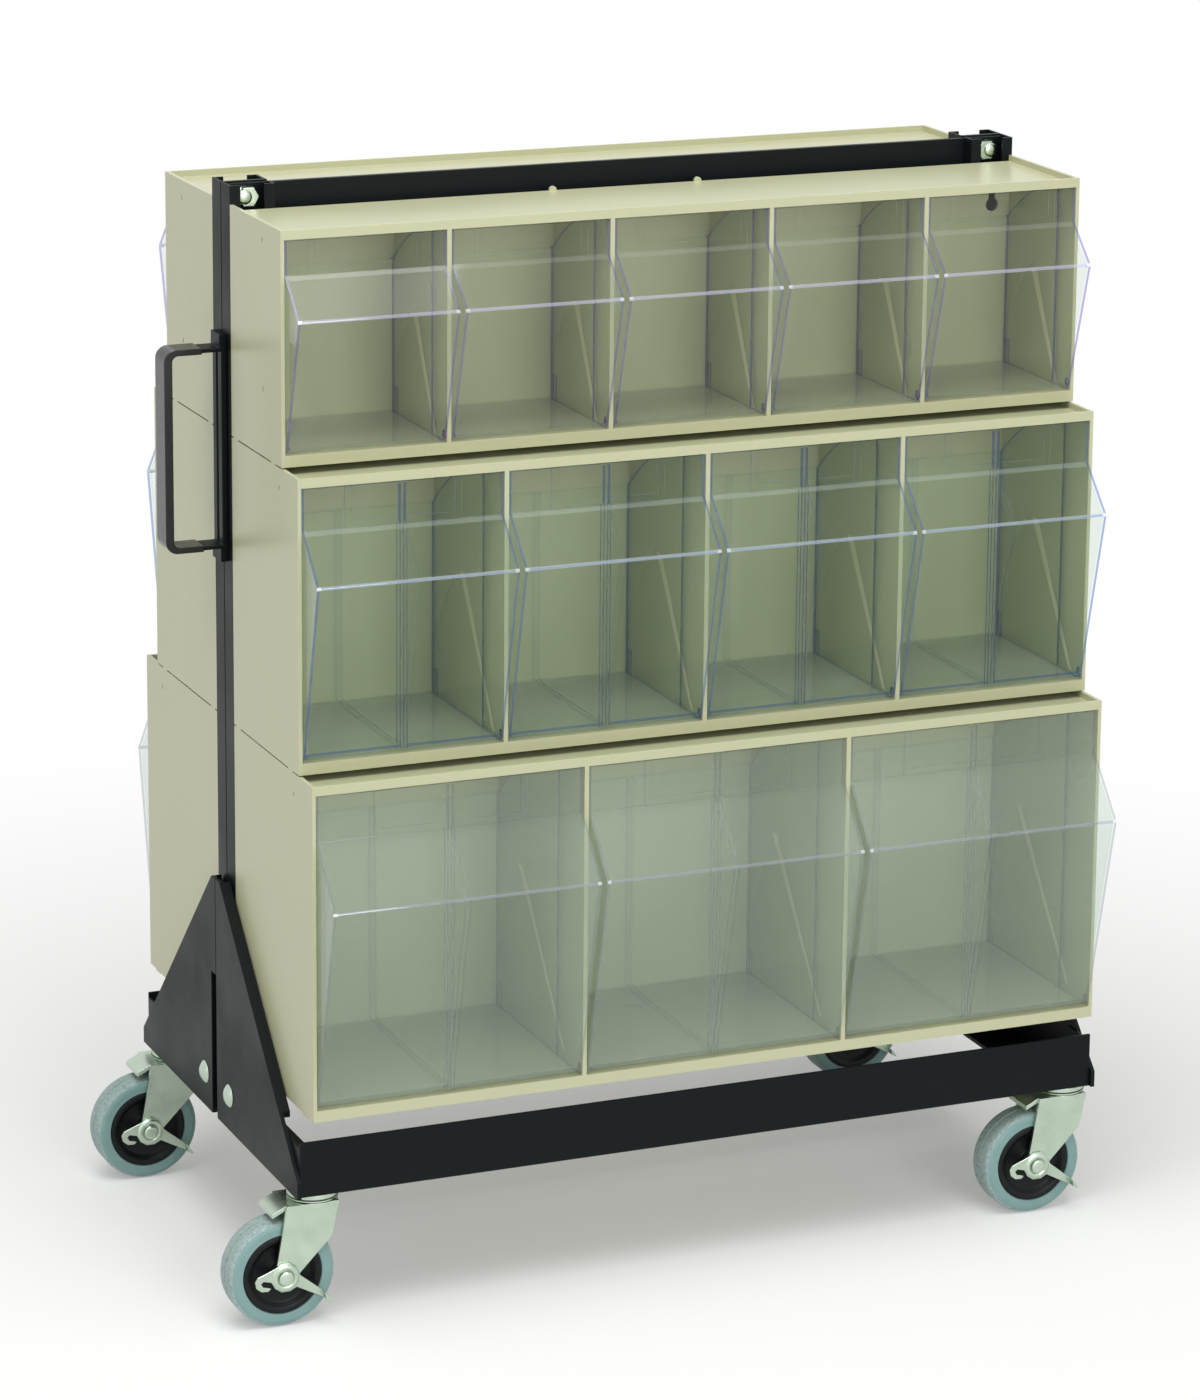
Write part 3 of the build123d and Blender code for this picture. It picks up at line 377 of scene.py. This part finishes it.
def head_tree(name, material):
    """Geometry nodes that set a flanged, domed head on every point, facing along Y."""
    tree = bpy.data.node_groups.new(name, "GeometryNodeTree")
    face = tree.interface
    face.new_socket("Geometry", in_out="INPUT", socket_type="NodeSocketGeometry")
    for label, value in (("Flange Radius", 7.4 * MM), ("Flange Height", 1.4 * MM),
                         ("Head Radius", 5.2 * MM), ("Dome Rise", 1.5 * MM), ("Head Height", 5.3 * MM)):
        socket = face.new_socket(label, in_out="INPUT", socket_type="NodeSocketFloat")
        socket.default_value = value
    face.new_socket("Geometry", in_out="OUTPUT", socket_type="NodeSocketGeometry")
    link = tree.links.new
    given = tree.nodes.new("NodeGroupInput")
    result = tree.nodes.new("NodeGroupOutput")
    flange = tree.nodes.new("GeometryNodeMeshCone")
    flange.inputs["Vertices"].default_value = 40
    link(given.outputs["Flange Radius"], flange.inputs["Radius Bottom"])
    link(given.outputs["Head Radius"], flange.inputs["Radius Top"])
    link(given.outputs["Flange Height"], flange.inputs["Depth"])
    dome = tree.nodes.new("GeometryNodeMeshUVSphere")
    dome.inputs["Segments"].default_value = 40
    dome.inputs["Rings"].default_value = 16
    link(given.outputs["Head Radius"], dome.inputs["Radius"])
    flatten = tree.nodes.new("ShaderNodeCombineXYZ")
    share = tree.nodes.new("ShaderNodeMath")
    share.operation = "DIVIDE"
    link(given.outputs["Dome Rise"], share.inputs[0])
    link(given.outputs["Head Radius"], share.inputs[1])
    flatten.inputs["X"].default_value = 1.0
    flatten.inputs["Y"].default_value = 1.0
    link(share.outputs["Value"], flatten.inputs["Z"])
    lift = tree.nodes.new("ShaderNodeCombineXYZ")
    link(given.outputs["Head Height"], lift.inputs["Z"])
    squash = tree.nodes.new("GeometryNodeTransform")
    link(dome.outputs["Mesh"], squash.inputs["Geometry"])
    link(flatten.outputs["Vector"], squash.inputs["Scale"])
    link(lift.outputs["Vector"], squash.inputs["Translation"])
    both = tree.nodes.new("GeometryNodeJoinGeometry")
    link(flange.outputs["Mesh"], both.inputs["Geometry"])
    link(squash.outputs["Geometry"], both.inputs["Geometry"])
    stand = tree.nodes.new("GeometryNodeTransform")
    stand.inputs["Rotation"].default_value = (math.radians(90), 0, 0)
    link(both.outputs["Geometry"], stand.inputs["Geometry"])
    place = tree.nodes.new("GeometryNodeInstanceOnPoints")
    link(given.outputs["Geometry"], place.inputs["Points"])
    link(stand.outputs["Geometry"], place.inputs["Instance"])
    real = tree.nodes.new("GeometryNodeRealizeInstances")
    link(place.outputs["Instances"], real.inputs["Geometry"])
    smooth = tree.nodes.new("GeometryNodeSetShadeSmooth")
    link(real.outputs["Geometry"], smooth.inputs["Geometry"])
    dress = tree.nodes.new("GeometryNodeSetMaterial")
    dress.inputs["Material"].default_value = material
    link(smooth.outputs["Geometry"], dress.inputs["Geometry"])
    link(dress.outputs["Geometry"], result.inputs["Geometry"])
    return tree


def set_heads(piece, tree):
    """Run the tree on the piece's points and keep the result as its plain mesh."""
    heads = piece.modifiers.new("heads", "NODES")
    heads.node_group = tree
    return finished(piece)


BOLT_EDGE = 0.5
BOLT_DROP = 10.0         # below the uprights' tops
softened("frame_bolts", BOLT_EDGE * MM, zinc)
crossbar_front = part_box("top_crossbar")[0][1]
bolt_x = [sum(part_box(side + "_upright")[end][0] for end in (0, 1)) / 2 for side in ("left", "right")]
bolt_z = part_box("left_upright")[1][2] - BOLT_DROP * MM
flanges = points_at("crossbar_bolt_heads", [(x, crossbar_front, bolt_z) for x in bolt_x])
set_heads(flanges, head_tree("flanged_heads", zinc))
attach(flanges, nodes["frame_bolts"]["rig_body"])


# The handle is a bent strap of the same coated steel, fixed to the left upright.
# A glossy black grip is moulded over its straight part.

STRAP_EDGE = 0.8
GRIP_EDGE = 1.6
softened("handle_strap", STRAP_EDGE * MM, coat)
grip_plastic, tree, shader = shader_material("black_grip_plastic", (0.006, 0.007, 0.009))
grain = object_noise(tree, 200.0)
tree.links.new(spread(tree, grain, 0.18, 0.28), shader.inputs["Roughness"])
softened("handle_grip", GRIP_EDGE * MM, grip_plastic)


# The cabinets are one-piece beige mouldings with a satin skin, softly rounded along every edge.
# In each compartment's right wall a sunk guide ends in a raised stop, painted pale cream as a highlight,
# which shows as a pale slanting line.

beige, tree, shader = shader_material("beige_moulding")
mottle = object_noise(tree, 7.0, 2.0)
tree.links.new(colour_between(tree, mottle, (0.485, 0.49, 0.315), (0.515, 0.52, 0.335)),
               shader.inputs["Base Color"])
skin = object_noise(tree, 1500.0, 2.0)
fine_bump(tree, shader, skin, 0.06, 0.0001)
tree.links.new(spread(tree, mottle, 0.27, 0.34), shader.inputs["Roughness"])
# The stops' cream is a painted highlight, lighter than the beige, as if they caught the light.
stop_highlight_cream = shader_material("stop_painted_highlight", (0.86, 0.80, 0.58), 0.4)[0]
CABINETS = [n for n in nodes if n.endswith("_cabinet")]
CABINET_EDGE = 0.5
for name in CABINETS:
    softened(name, CABINET_EDGE * MM, beige)

PIN_IN_SOCKET = 1.0      # of a bin's pin, past the face of the cabinet's wall
STOPS = {                # (behind the cabinet's front, below its rim) of each stop's two ends
    "upper": ((60, 77), (22.5, 153)),
    "middle": ((79, 96), (18.7, 195)),
    "lower": ((117, 111), (34, 224)),
}
STOP_WIDTH = 8.0
STOP_PROUD = 0.25
STOP_SUNK = 0.1
for cabinet in CABINETS:
    side, row = cabinet.split("_")[:2]
    cabinet_low, cabinet_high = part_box(cabinet)
    outward = -1 if side == "front" else 1
    front = cabinet_low[1] if side == "front" else cabinet_high[1]
    shape = bmesh.new()
    for name in [n for n in nodes if n.startswith(f"{side}_{row}_bin_")]:
        bin_low, bin_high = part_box(name)
        wall_x = bin_high[0] - PIN_IN_SOCKET * MM if side == "front" else bin_low[0] + PIN_IN_SOCKET * MM
        (top_y, top_z), (foot_y, foot_z) = STOPS[row]
        corners = []
        for y, z, half in ((top_y, top_z, STOP_WIDTH / 2), (foot_y, foot_z, STOP_WIDTH / 4)):
            for beside in (-half, half):
                corners.append((front - outward * (y + beside) * MM, cabinet_high[2] - z * MM))
        corners = [corners[0], corners[1], corners[3], corners[2]]
        outer = [shape.verts.new((wall_x - outward * STOP_SUNK * MM, y, z)) for y, z in corners]
        inner = [shape.verts.new((wall_x + outward * STOP_PROUD * MM, y, z)) for y, z in corners]
        shape.faces.new(outer)
        shape.faces.new(inner)
        for i in range(4):
            shape.faces.new((outer[i], outer[i - 1], inner[i - 1], inner[i]))
    bmesh.ops.recalc_face_normals(shape, faces=shape.faces)
    mesh = bpy.data.meshes.new(cabinet + "_stops")
    shape.to_mesh(mesh)
    shape.free()
    mesh.materials.append(stop_highlight_cream)
    stops = new_piece(cabinet + "_stops", mesh)
    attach(stops, nodes[cabinet]["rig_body"])

mark_beige = shader_material("gate_mark", (0.16, 0.15, 0.10), 0.6)[0]
MARK_BEHIND_FRONT = 37.5
MARK_HALF = (0.12, 0.7, 1.9)             # half of a gate mark's size along each axis
MARKS = {"upper": (12.5, 115.0), "middle": (13.7,), "lower": (14.7,)}     # below the rim
for cabinet in CABINETS:
    side, row = cabinet.split("_")[:2]
    low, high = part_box(cabinet)
    y = low[1] + MARK_BEHIND_FRONT * MM if side == "front" else high[1] - MARK_BEHIND_FRONT * MM
    shape = bmesh.new()
    for x in (low[0], high[0]):
        for drop in MARKS[row]:
            place = (Matrix.Translation((x, y, high[2] - drop * MM))
                     @ Matrix.Diagonal((*(half * MM for half in MARK_HALF), 1.0)))
            bmesh.ops.create_uvsphere(shape, u_segments=16, v_segments=10, radius=1.0, matrix=place)
    mesh = bpy.data.meshes.new(cabinet + "_gate_marks")
    shape.to_mesh(mesh)
    shape.free()
    mesh.materials.append(mark_beige)
    marks = new_piece(cabinet + "_gate_marks", mesh)
    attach(marks, nodes[cabinet]["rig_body"])


# The cabinets hang on zinc-plated screws through the keyholes in their backs.
# The screws turn into channel nuts behind the uprights' lips.

SCREW_EDGE = 0.3
softened("cabinet_screws", SCREW_EDGE * MM, zinc)


# The bins are clear mouldings. Their walls hardly show, but every edge and bend carries a painted tint of
# light
# that changes by row: violet in the upper rows, blue in the middle ones and neutral in the lower ones.

SKIN_ROUGHNESS = 0.04
GRAZING_POWER = 4.0
GRAZING_SHINE = 0.6


def clear_moulding(name, tint, haze_and_highlight, haze_and_highlight_share, shine):
    """Plastic that shows what is behind it, with a skin that shines more the flatter it is looked along."""
    material = bpy.data.materials.new(name)
    material.use_nodes = True
    tree = material.node_tree
    tree.nodes.remove(tree.nodes["Principled BSDF"])
    through = tree.nodes.new("ShaderNodeBsdfTransparent")
    through.inputs["Color"].default_value = (*tint, 1)
    # The diffuse haze is a little milkiness in the walls, raised there by row as painted light, and a
    # painted highlight in the bends, ledges, floors and glints.
    milk_and_highlight = tree.nodes.new("ShaderNodeBsdfDiffuse")
    milk_and_highlight.inputs["Color"].default_value = (*haze_and_highlight, 1)
    body = tree.nodes.new("ShaderNodeMixShader")
    body.inputs["Fac"].default_value = haze_and_highlight_share
    tree.links.new(through.outputs["BSDF"], body.inputs[1])
    tree.links.new(milk_and_highlight.outputs["BSDF"], body.inputs[2])
    skin = tree.nodes.new("ShaderNodeBsdfGlossy")
    skin.inputs["Roughness"].default_value = SKIN_ROUGHNESS
    facing = tree.nodes.new("ShaderNodeLayerWeight")
    facing.inputs["Blend"].default_value = 0.5
    steep = tree.nodes.new("ShaderNodeMath")
    steep.operation = "POWER"
    steep.inputs[1].default_value = GRAZING_POWER
    share = tree.nodes.new("ShaderNodeMath")
    share.operation = "MULTIPLY_ADD"
    share.inputs[1].default_value = GRAZING_SHINE
    share.inputs[2].default_value = shine
    tree.links.new(facing.outputs["Facing"], steep.inputs[0])
    tree.links.new(steep.outputs["Value"], share.inputs[0])
    whole = tree.nodes.new("ShaderNodeMixShader")
    tree.links.new(share.outputs["Value"], whole.inputs["Fac"])
    tree.links.new(body.outputs["Shader"], whole.inputs[1])
    tree.links.new(skin.outputs["BSDF"], whole.inputs[2])
    tree.links.new(whole.outputs["Shader"], tree.nodes["Material Output"].inputs["Surface"])
    return material


# The walls' haze is set row by row as painted light; the lower walls are the milkiest, which brightens the
# lower bins' insides.
walls = {
    "upper": clear_moulding("upper_wall", (0.982, 0.994, 0.984), (0.70, 0.75, 0.68), 0.018, 0.01),
    "middle": clear_moulding("middle_wall", (0.976, 0.993, 0.980), (0.60, 0.72, 0.66), 0.014, 0.01),
    "lower": clear_moulding("lower_wall", (0.980, 0.996, 0.985), (0.72, 0.82, 0.76), 0.08, 0.01),
}
# The glints at the knee's ends are painted highlights.
glint = clear_moulding("painted_glint", (0.90, 0.92, 0.96), (0.85, 0.88, 0.95), 0.45, 0.2)
# The edges' tints are painted light: darker tinted lines with a little painted haze, set row by row.
edges = {
    "upper": clear_moulding("violet_painted_edge", (0.54, 0.52, 0.82), (0.38, 0.38, 0.80), 0.12, 0.06),
    "middle": clear_moulding("blue_painted_edge", (0.44, 0.54, 0.80), (0.20, 0.34, 0.74), 0.12, 0.06),
    "lower": clear_moulding("grey_painted_edge", (0.74, 0.77, 0.80), (0.6, 0.65, 0.72), 0.12, 0.06),
}
# The bends' pale lines, along the knee and the label frames' sides, are painted highlights.
bend_highlights = {
    "upper": clear_moulding("violet_bend_highlight", (0.80, 0.80, 0.93), (0.72, 0.72, 0.94), 0.26, 0.12),
    "middle": clear_moulding("blue_bend_highlight", (0.70, 0.79, 0.90), (0.60, 0.72, 0.88), 0.26, 0.12),
    "lower": clear_moulding("grey_bend_highlight", (0.80, 0.82, 0.88), (0.62, 0.64, 0.74), 0.20, 0.10),
}
# The pale band under each crease's ledge and the bins' paler floors are painted highlights.
pale_highlights = {
    "upper": clear_moulding("violet_pale_highlight", (0.94, 0.95, 0.97), (0.66, 0.70, 0.62), 0.09, 0.03),
    "middle": clear_moulding("blue_pale_highlight", (0.93, 0.96, 0.96), (0.62, 0.70, 0.64), 0.14, 0.03),
    "lower": clear_moulding("grey_pale_highlight", (0.94, 0.96, 0.96), (0.66, 0.72, 0.66), 0.08, 0.03),
}
# The ribs' dark tints, set row by row, are painted shade, so that the thin clear ribs show as fine dark
# lines.
ribs = {
    "upper": clear_moulding("violet_painted_rib", (0.52, 0.50, 0.78), (0.35, 0.35, 0.75), 0.15, 0.05),
    "middle": clear_moulding("blue_painted_rib", (0.46, 0.52, 0.62), (0.16, 0.24, 0.45), 0.18, 0.05),
    "lower": clear_moulding("grey_painted_rib", (0.66, 0.69, 0.72), (0.45, 0.50, 0.55), 0.15, 0.05),
}
WALL, PAINTED_EDGE, BEND_HIGHLIGHT, PALE_HIGHLIGHT, GLINT = range(5)
BIN_WALL = 1.8
PANEL_BEHIND_FRONT = 1.0     # of the bin's upper panel, behind the cabinet's front
FRONT_DEPTH = 3.0        # behind that panel, what still counts as the bin's front
LABEL_PROUD = 0.1        # in front of that panel, what counts as the label's frame
PIN_OUT = 1.4            # of each pin, past the bin's side
NARROW = 2.4             # faces under this width are edges
CREASE = {"upper": 31.0, "middle": 36.5, "lower": 39.5}     # below the cabinet's rim
# Height of the painted highlight band under the crease.
LEDGE_HIGHLIGHT_BAND = 3.0
KNEE = {"upper": 58.0, "middle": 69.0, "lower": 80.5}       # below the cabinet's rim
# Half the height of the knee's painted highlight line.
KNEE_HIGHLIGHT_BAND = 1.2
GLINT_LENGTH = 3.0
FLOOR_TOP = 6.0          # of the bin's floor, over its lowest point
RIB_ZONE = 3.2           # each side of the bin's middle, with the two ribs that hold a divider
RIB_ZONE_TOP = 2.0       # of that zone, over the crease


def cut_along(shape, point, normal):
    """Cut every face along a plane, so that the parts can take their own material."""
    bmesh.ops.bisect_plane(shape, geom=shape.verts[:] + shape.edges[:] + shape.faces[:], dist=1e-7,
                           plane_co=point, plane_no=normal)


def upper_panel(name):
    """Which way a bin's upper panel faces along Y, where it is there, and how high the cabinet's rim is."""
    side, row = name.split("_")[:2]
    cabinet_low, cabinet_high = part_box(f"{side}_{row}_cabinet")
    if side == "front":
        return -1, cabinet_low[1] + PANEL_BEHIND_FRONT * MM, cabinet_high[2]
    return 1, cabinet_high[1] - PANEL_BEHIND_FRONT * MM, cabinet_high[2]


def marker(name):
    """What sorts a bin's faces into walls, painted edges, painted highlights on the bends, ledges and
    floors, and painted glints, as marks on the shape.
    """
    row = name.split("_")[1]
    outward, panel_y, rim = upper_panel(name)
    low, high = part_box(name)
    left = low[0] + PIN_OUT * MM
    right = high[0] - PIN_OUT * MM
    crease = rim - CREASE[row] * MM
    knee = rim - KNEE[row] * MM

    def mark(shape):
        for face in shape.faces:
            if face.calc_area() < NARROW / 2 * MM * face.calc_perimeter():
                face.material_index = PAINTED_EDGE
        for depth in (BIN_WALL * MM, GLINT_LENGTH * MM):
            cut_along(shape, (left + depth, 0, 0), (1, 0, 0))
            cut_along(shape, (right - depth, 0, 0), (1, 0, 0))
        for z in (crease, crease - LEDGE_HIGHLIGHT_BAND * MM, knee - KNEE_HIGHLIGHT_BAND * MM, knee + KNEE_HIGHLIGHT_BAND * MM):
            cut_along(shape, (0, 0, z), (0, 0, 1))
        for face in shape.faces:
            middle = face.calc_center_median()
            proud = outward * (middle.y - panel_y)
            from_side = min(middle.x - left, right - middle.x)
            in_side_wall = from_side < BIN_WALL * MM
            faces_sideways = abs(face.normal.x) >= 0.5
            if in_side_wall and not faces_sideways:
                face.material_index = PAINTED_EDGE
            if abs(middle.x - (left + right) / 2) < RIB_ZONE * MM and middle.z < crease + RIB_ZONE_TOP * MM:
                face.material_index = WALL
            # The label frames' sides take the bends' painted highlight.
            if middle.z > crease and proud > LABEL_PROUD * MM:
                face.material_index = WALL if abs(face.normal.y) > 0.7 else BEND_HIGHLIGHT
            # The bins' floors get the pale painted highlight, which brightens them.
            if abs(face.normal.z) > 0.7 and middle.z < low[2] + FLOOR_TOP * MM and not in_side_wall:
                face.material_index = PALE_HIGHLIGHT
            # Painted highlights: a pale line and glints along the knee, and a pale band under the crease.
            if proud > -FRONT_DEPTH * MM and not faces_sideways and outward * face.normal.y > 0.1:
                if abs(middle.z - knee) < KNEE_HIGHLIGHT_BAND * MM:
                    face.material_index = GLINT if from_side < GLINT_LENGTH * MM else BEND_HIGHLIGHT
                elif crease - LEDGE_HIGHLIGHT_BAND * MM < middle.z < crease and not in_side_wall:
                    face.material_index = PALE_HIGHLIGHT
    return mark


def rib_tree():
    """Geometry nodes that stand a thin rib on every point, from the point upwards."""
    tree = bpy.data.node_groups.new("standing_ribs", "GeometryNodeTree")
    face = tree.interface
    face.new_socket("Geometry", in_out="INPUT", socket_type="NodeSocketGeometry")
    for label in ("Rib Width", "Rib Depth", "Rib Height"):
        face.new_socket(label, in_out="INPUT", socket_type="NodeSocketFloat")
    face.new_socket("Plastic", in_out="INPUT", socket_type="NodeSocketMaterial")
    face.new_socket("Geometry", in_out="OUTPUT", socket_type="NodeSocketGeometry")
    link = tree.links.new
    given = tree.nodes.new("NodeGroupInput")
    result = tree.nodes.new("NodeGroupOutput")
    size = tree.nodes.new("ShaderNodeCombineXYZ")
    link(given.outputs["Rib Width"], size.inputs["X"])
    link(given.outputs["Rib Depth"], size.inputs["Y"])
    link(given.outputs["Rib Height"], size.inputs["Z"])
    rib = tree.nodes.new("GeometryNodeMeshCube")
    link(size.outputs["Vector"], rib.inputs["Size"])
    half = tree.nodes.new("ShaderNodeMath")
    half.operation = "MULTIPLY"
    half.inputs[1].default_value = 0.5
    link(given.outputs["Rib Height"], half.inputs[0])
    lift = tree.nodes.new("ShaderNodeCombineXYZ")
    link(half.outputs["Value"], lift.inputs["Z"])
    stand = tree.nodes.new("GeometryNodeTransform")
    link(rib.outputs["Mesh"], stand.inputs["Geometry"])
    link(lift.outputs["Vector"], stand.inputs["Translation"])
    place = tree.nodes.new("GeometryNodeInstanceOnPoints")
    link(given.outputs["Geometry"], place.inputs["Points"])
    link(stand.outputs["Geometry"], place.inputs["Instance"])
    real = tree.nodes.new("GeometryNodeRealizeInstances")
    link(place.outputs["Instances"], real.inputs["Geometry"])
    dress = tree.nodes.new("GeometryNodeSetMaterial")
    link(real.outputs["Geometry"], dress.inputs["Geometry"])
    link(given.outputs["Plastic"], dress.inputs["Material"])
    link(dress.outputs["Geometry"], result.inputs["Geometry"])
    return tree


def stand_ribs(piece, tree, **inputs):
    """Run the tree on the piece's points with the named inputs, and keep the plain mesh."""
    maker = piece.modifiers.new("ribs", "NODES")
    maker.node_group = tree
    for socket in tree.interface.items_tree:
        if socket.in_out == "INPUT" and socket.name in inputs:
            maker[socket.identifier] = inputs[socket.name]
    return finished(piece)


BIN_EDGE = 0.22
RIB_FOOT = 2.0           # over the bin's lowest point
SIDE_RIB = (0.6, 2.0)    # width and depth
SIDE_RIB_GAP = 0.3       # from the side wall to the rib's middle
SIDE_RIB_BACK = {"upper": 21.0, "middle": 32.0, "lower": 40.0}      # behind the bin's upper panel
SIDE_RIB_SHORT = 3.0     # of the bin's top
FINE_RIB = (0.4, 0.9)
FINE_RIB_BACK = 2.8      # behind the bin's upper panel
RIB_SPREAD = (-3.7, -1.3, 1.3, 3.7)     # of the four fine lines down the front, from the bin's middle
ribs_of = rib_tree()
for name in [n for n in nodes if "_bin_" in n]:
    row = name.split("_")[1]
    softened(name, BIN_EDGE * MM, walls[row], edges[row], bend_highlights[row], pale_highlights[row], glint,
             prepare=marker(name), smooth=False)
    outward, panel_y, rim = upper_panel(name)
    low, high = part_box(name)
    middle_x = (low[0] + high[0]) / 2
    inner = (high[0] - low[0]) / 2 - (PIN_OUT + BIN_WALL + SIDE_RIB_GAP) * MM
    side_y = panel_y - outward * SIDE_RIB_BACK[row] * MM
    foot = low[2] + RIB_FOOT * MM
    sides = points_at(name + "_side_ribs", [(middle_x + s * inner, side_y, foot) for s in (-1, 1)])
    stand_ribs(sides, ribs_of, **{"Rib Width": SIDE_RIB[0] * MM, "Rib Depth": SIDE_RIB[1] * MM,
                                  "Rib Height": high[2] - foot - SIDE_RIB_SHORT * MM,
                                  "Plastic": ribs[row]})
    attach(sides, nodes[name]["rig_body"])
    if row != "upper":
        fine_y = panel_y - outward * FINE_RIB_BACK * MM
        lines = points_at(name + "_divider_ribs", [(middle_x + x * MM, fine_y, foot) for x in RIB_SPREAD])
        stand_ribs(lines, ribs_of, **{"Rib Width": FINE_RIB[0] * MM, "Rib Depth": FINE_RIB[1] * MM,
                                      "Rib Height": rim - CREASE[row] * MM - foot,
                                      "Plastic": ribs[row]})
        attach(lines, nodes[name]["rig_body"])


# The studio: a white floor that keeps the stand's shadow near it and fades into pure white further out.
# The light comes from a pale surround and three large soft lamps, above, left and in front.

def seen_directly(tree):
    """One for what the camera sees, or sees mirrored or through something clear; otherwise nothing."""
    path = tree.nodes.new("ShaderNodeLightPath")
    value = path.outputs["Is Camera Ray"]
    for other in ("Is Glossy Ray", "Is Transmission Ray"):
        either = tree.nodes.new("ShaderNodeMath")
        either.operation = "MAXIMUM"
        tree.links.new(value, either.inputs[0])
        tree.links.new(path.outputs[other], either.inputs[1])
        value = either.outputs["Value"]
    return value


FLOOR_REACH = 12.0       # metres each way
FADE_FROM = 0.35         # metres from the stand's middle
FADE_TO = 1.3
GLOW_NEAR = 0.25         # share of pure white close to the stand
corners = [(-1, -1), (1, -1), (1, 1), (-1, 1)]
floor_mesh = bpy.data.meshes.new("studio_floor")
floor_mesh.from_pydata([(x * FLOOR_REACH, y * FLOOR_REACH, 0) for x, y in corners], [], [(0, 1, 2, 3)])
floor = new_piece("studio_floor", floor_mesh)
white, tree, shader = shader_material("studio_white", (0.90, 0.90, 0.90), 0.9, specular=0.0)
glow = tree.nodes.new("ShaderNodeEmission")
link = tree.links.new
place = tree.nodes.new("ShaderNodeTexCoord")
length = tree.nodes.new("ShaderNodeVectorMath")
length.operation = "LENGTH"
link(place.outputs["Object"], length.inputs[0])
fade = tree.nodes.new("ShaderNodeMapRange")
fade.interpolation_type = "SMOOTHSTEP"
fade.inputs["From Min"].default_value = FADE_FROM
fade.inputs["From Max"].default_value = FADE_TO
fade.inputs["To Min"].default_value = GLOW_NEAR
link(length.outputs["Value"], fade.inputs["Value"])
share = tree.nodes.new("ShaderNodeMath")
share.operation = "MULTIPLY"
link(fade.outputs["Result"], share.inputs[0])
link(seen_directly(tree), share.inputs[1])
mix = tree.nodes.new("ShaderNodeMixShader")
link(share.outputs["Value"], mix.inputs["Fac"])
link(shader.outputs["BSDF"], mix.inputs[1])
link(glow.outputs["Emission"], mix.inputs[2])
link(mix.outputs["Shader"], tree.nodes["Material Output"].inputs["Surface"])
floor_mesh.materials.append(white)

SURROUND_COLOUR = (0.99, 1.0, 0.95)
SURROUND_LIGHT = 0.33
world = bpy.data.worlds.new("studio")
bpy.context.scene.world = world
world.use_nodes = True
tree = world.node_tree
surround = tree.nodes["Background"]
surround.inputs["Color"].default_value = (*SURROUND_COLOUR, 1)
surround.inputs["Strength"].default_value = SURROUND_LIGHT
seen = tree.nodes.new("ShaderNodeBackground")
seen.inputs["Color"].default_value = (1, 1, 1, 1)
mix = tree.nodes.new("ShaderNodeMixShader")
tree.links.new(seen_directly(tree), mix.inputs["Fac"])
tree.links.new(surround.outputs["Background"], mix.inputs[1])
tree.links.new(seen.outputs["Background"], mix.inputs[2])
tree.links.new(mix.outputs["Shader"], tree.nodes["World Output"].inputs["Surface"])


def soft_lamp(name, place, aim, size, power):
    lamp = bpy.data.lights.new(name, "AREA")
    lamp.shape = "SQUARE"
    lamp.size = size
    lamp.energy = power
    holder = bpy.data.objects.new(name, lamp)
    bpy.context.scene.collection.objects.link(holder)
    look = (Vector(aim) - Vector(place)).to_track_quat("-Z", "Y")
    holder.matrix_world = Matrix.Translation(place) @ look.to_matrix().to_4x4()


soft_lamp("lamp_above", (-0.5, -0.9, 3.3), aim=(0, 0, 0.5), size=2.4, power=88)
soft_lamp("lamp_left", (-3.2, -1.2, 1.6), aim=(0, 0, 0.5), size=2.0, power=12)
soft_lamp("lamp_front", (0.2, -3.8, 1.5), aim=(0, 0, 0.45), size=1.8, power=48)


# The camera stands in front and a little to the left, and looks down at the stand.
# Its focal length and the height of its axis in the picture are in pixels of the 1200 x 1400 photograph.
PHOTO_HEIGHT = 1400
FOCAL = 5037.4
AXIS_ROW = 499.72
CAMERA_PLACE = (-1.36306, -3.24620, 1.37407)
CAMERA_TURN = -0.39909   # radians about the upright axis
CAMERA_DOWN = 0.23621
CAMERA_ROLL = 0.00882
lens = bpy.data.cameras.new("camera")
lens.sensor_fit = "VERTICAL"
lens.sensor_height = 35.0
lens.lens = lens.sensor_height * FOCAL / PHOTO_HEIGHT
lens.shift_y = (AXIS_ROW - PHOTO_HEIGHT / 2) / PHOTO_HEIGHT
lens.clip_end = 50.0
camera = bpy.data.objects.new("camera", lens)
bpy.context.scene.collection.objects.link(camera)
camera.matrix_world = (Matrix.Translation(CAMERA_PLACE)
                       @ Matrix.Rotation(CAMERA_TURN, 4, "Z")
                       @ Matrix.Rotation(math.pi / 2 - CAMERA_DOWN, 4, "X")
                       @ Matrix.Rotation(CAMERA_ROLL, 4, "Z"))
bpy.context.scene.camera = camera

scene = bpy.context.scene
scene.view_settings.view_transform = "Standard"
scene.cycles.transparent_max_bounces = 24
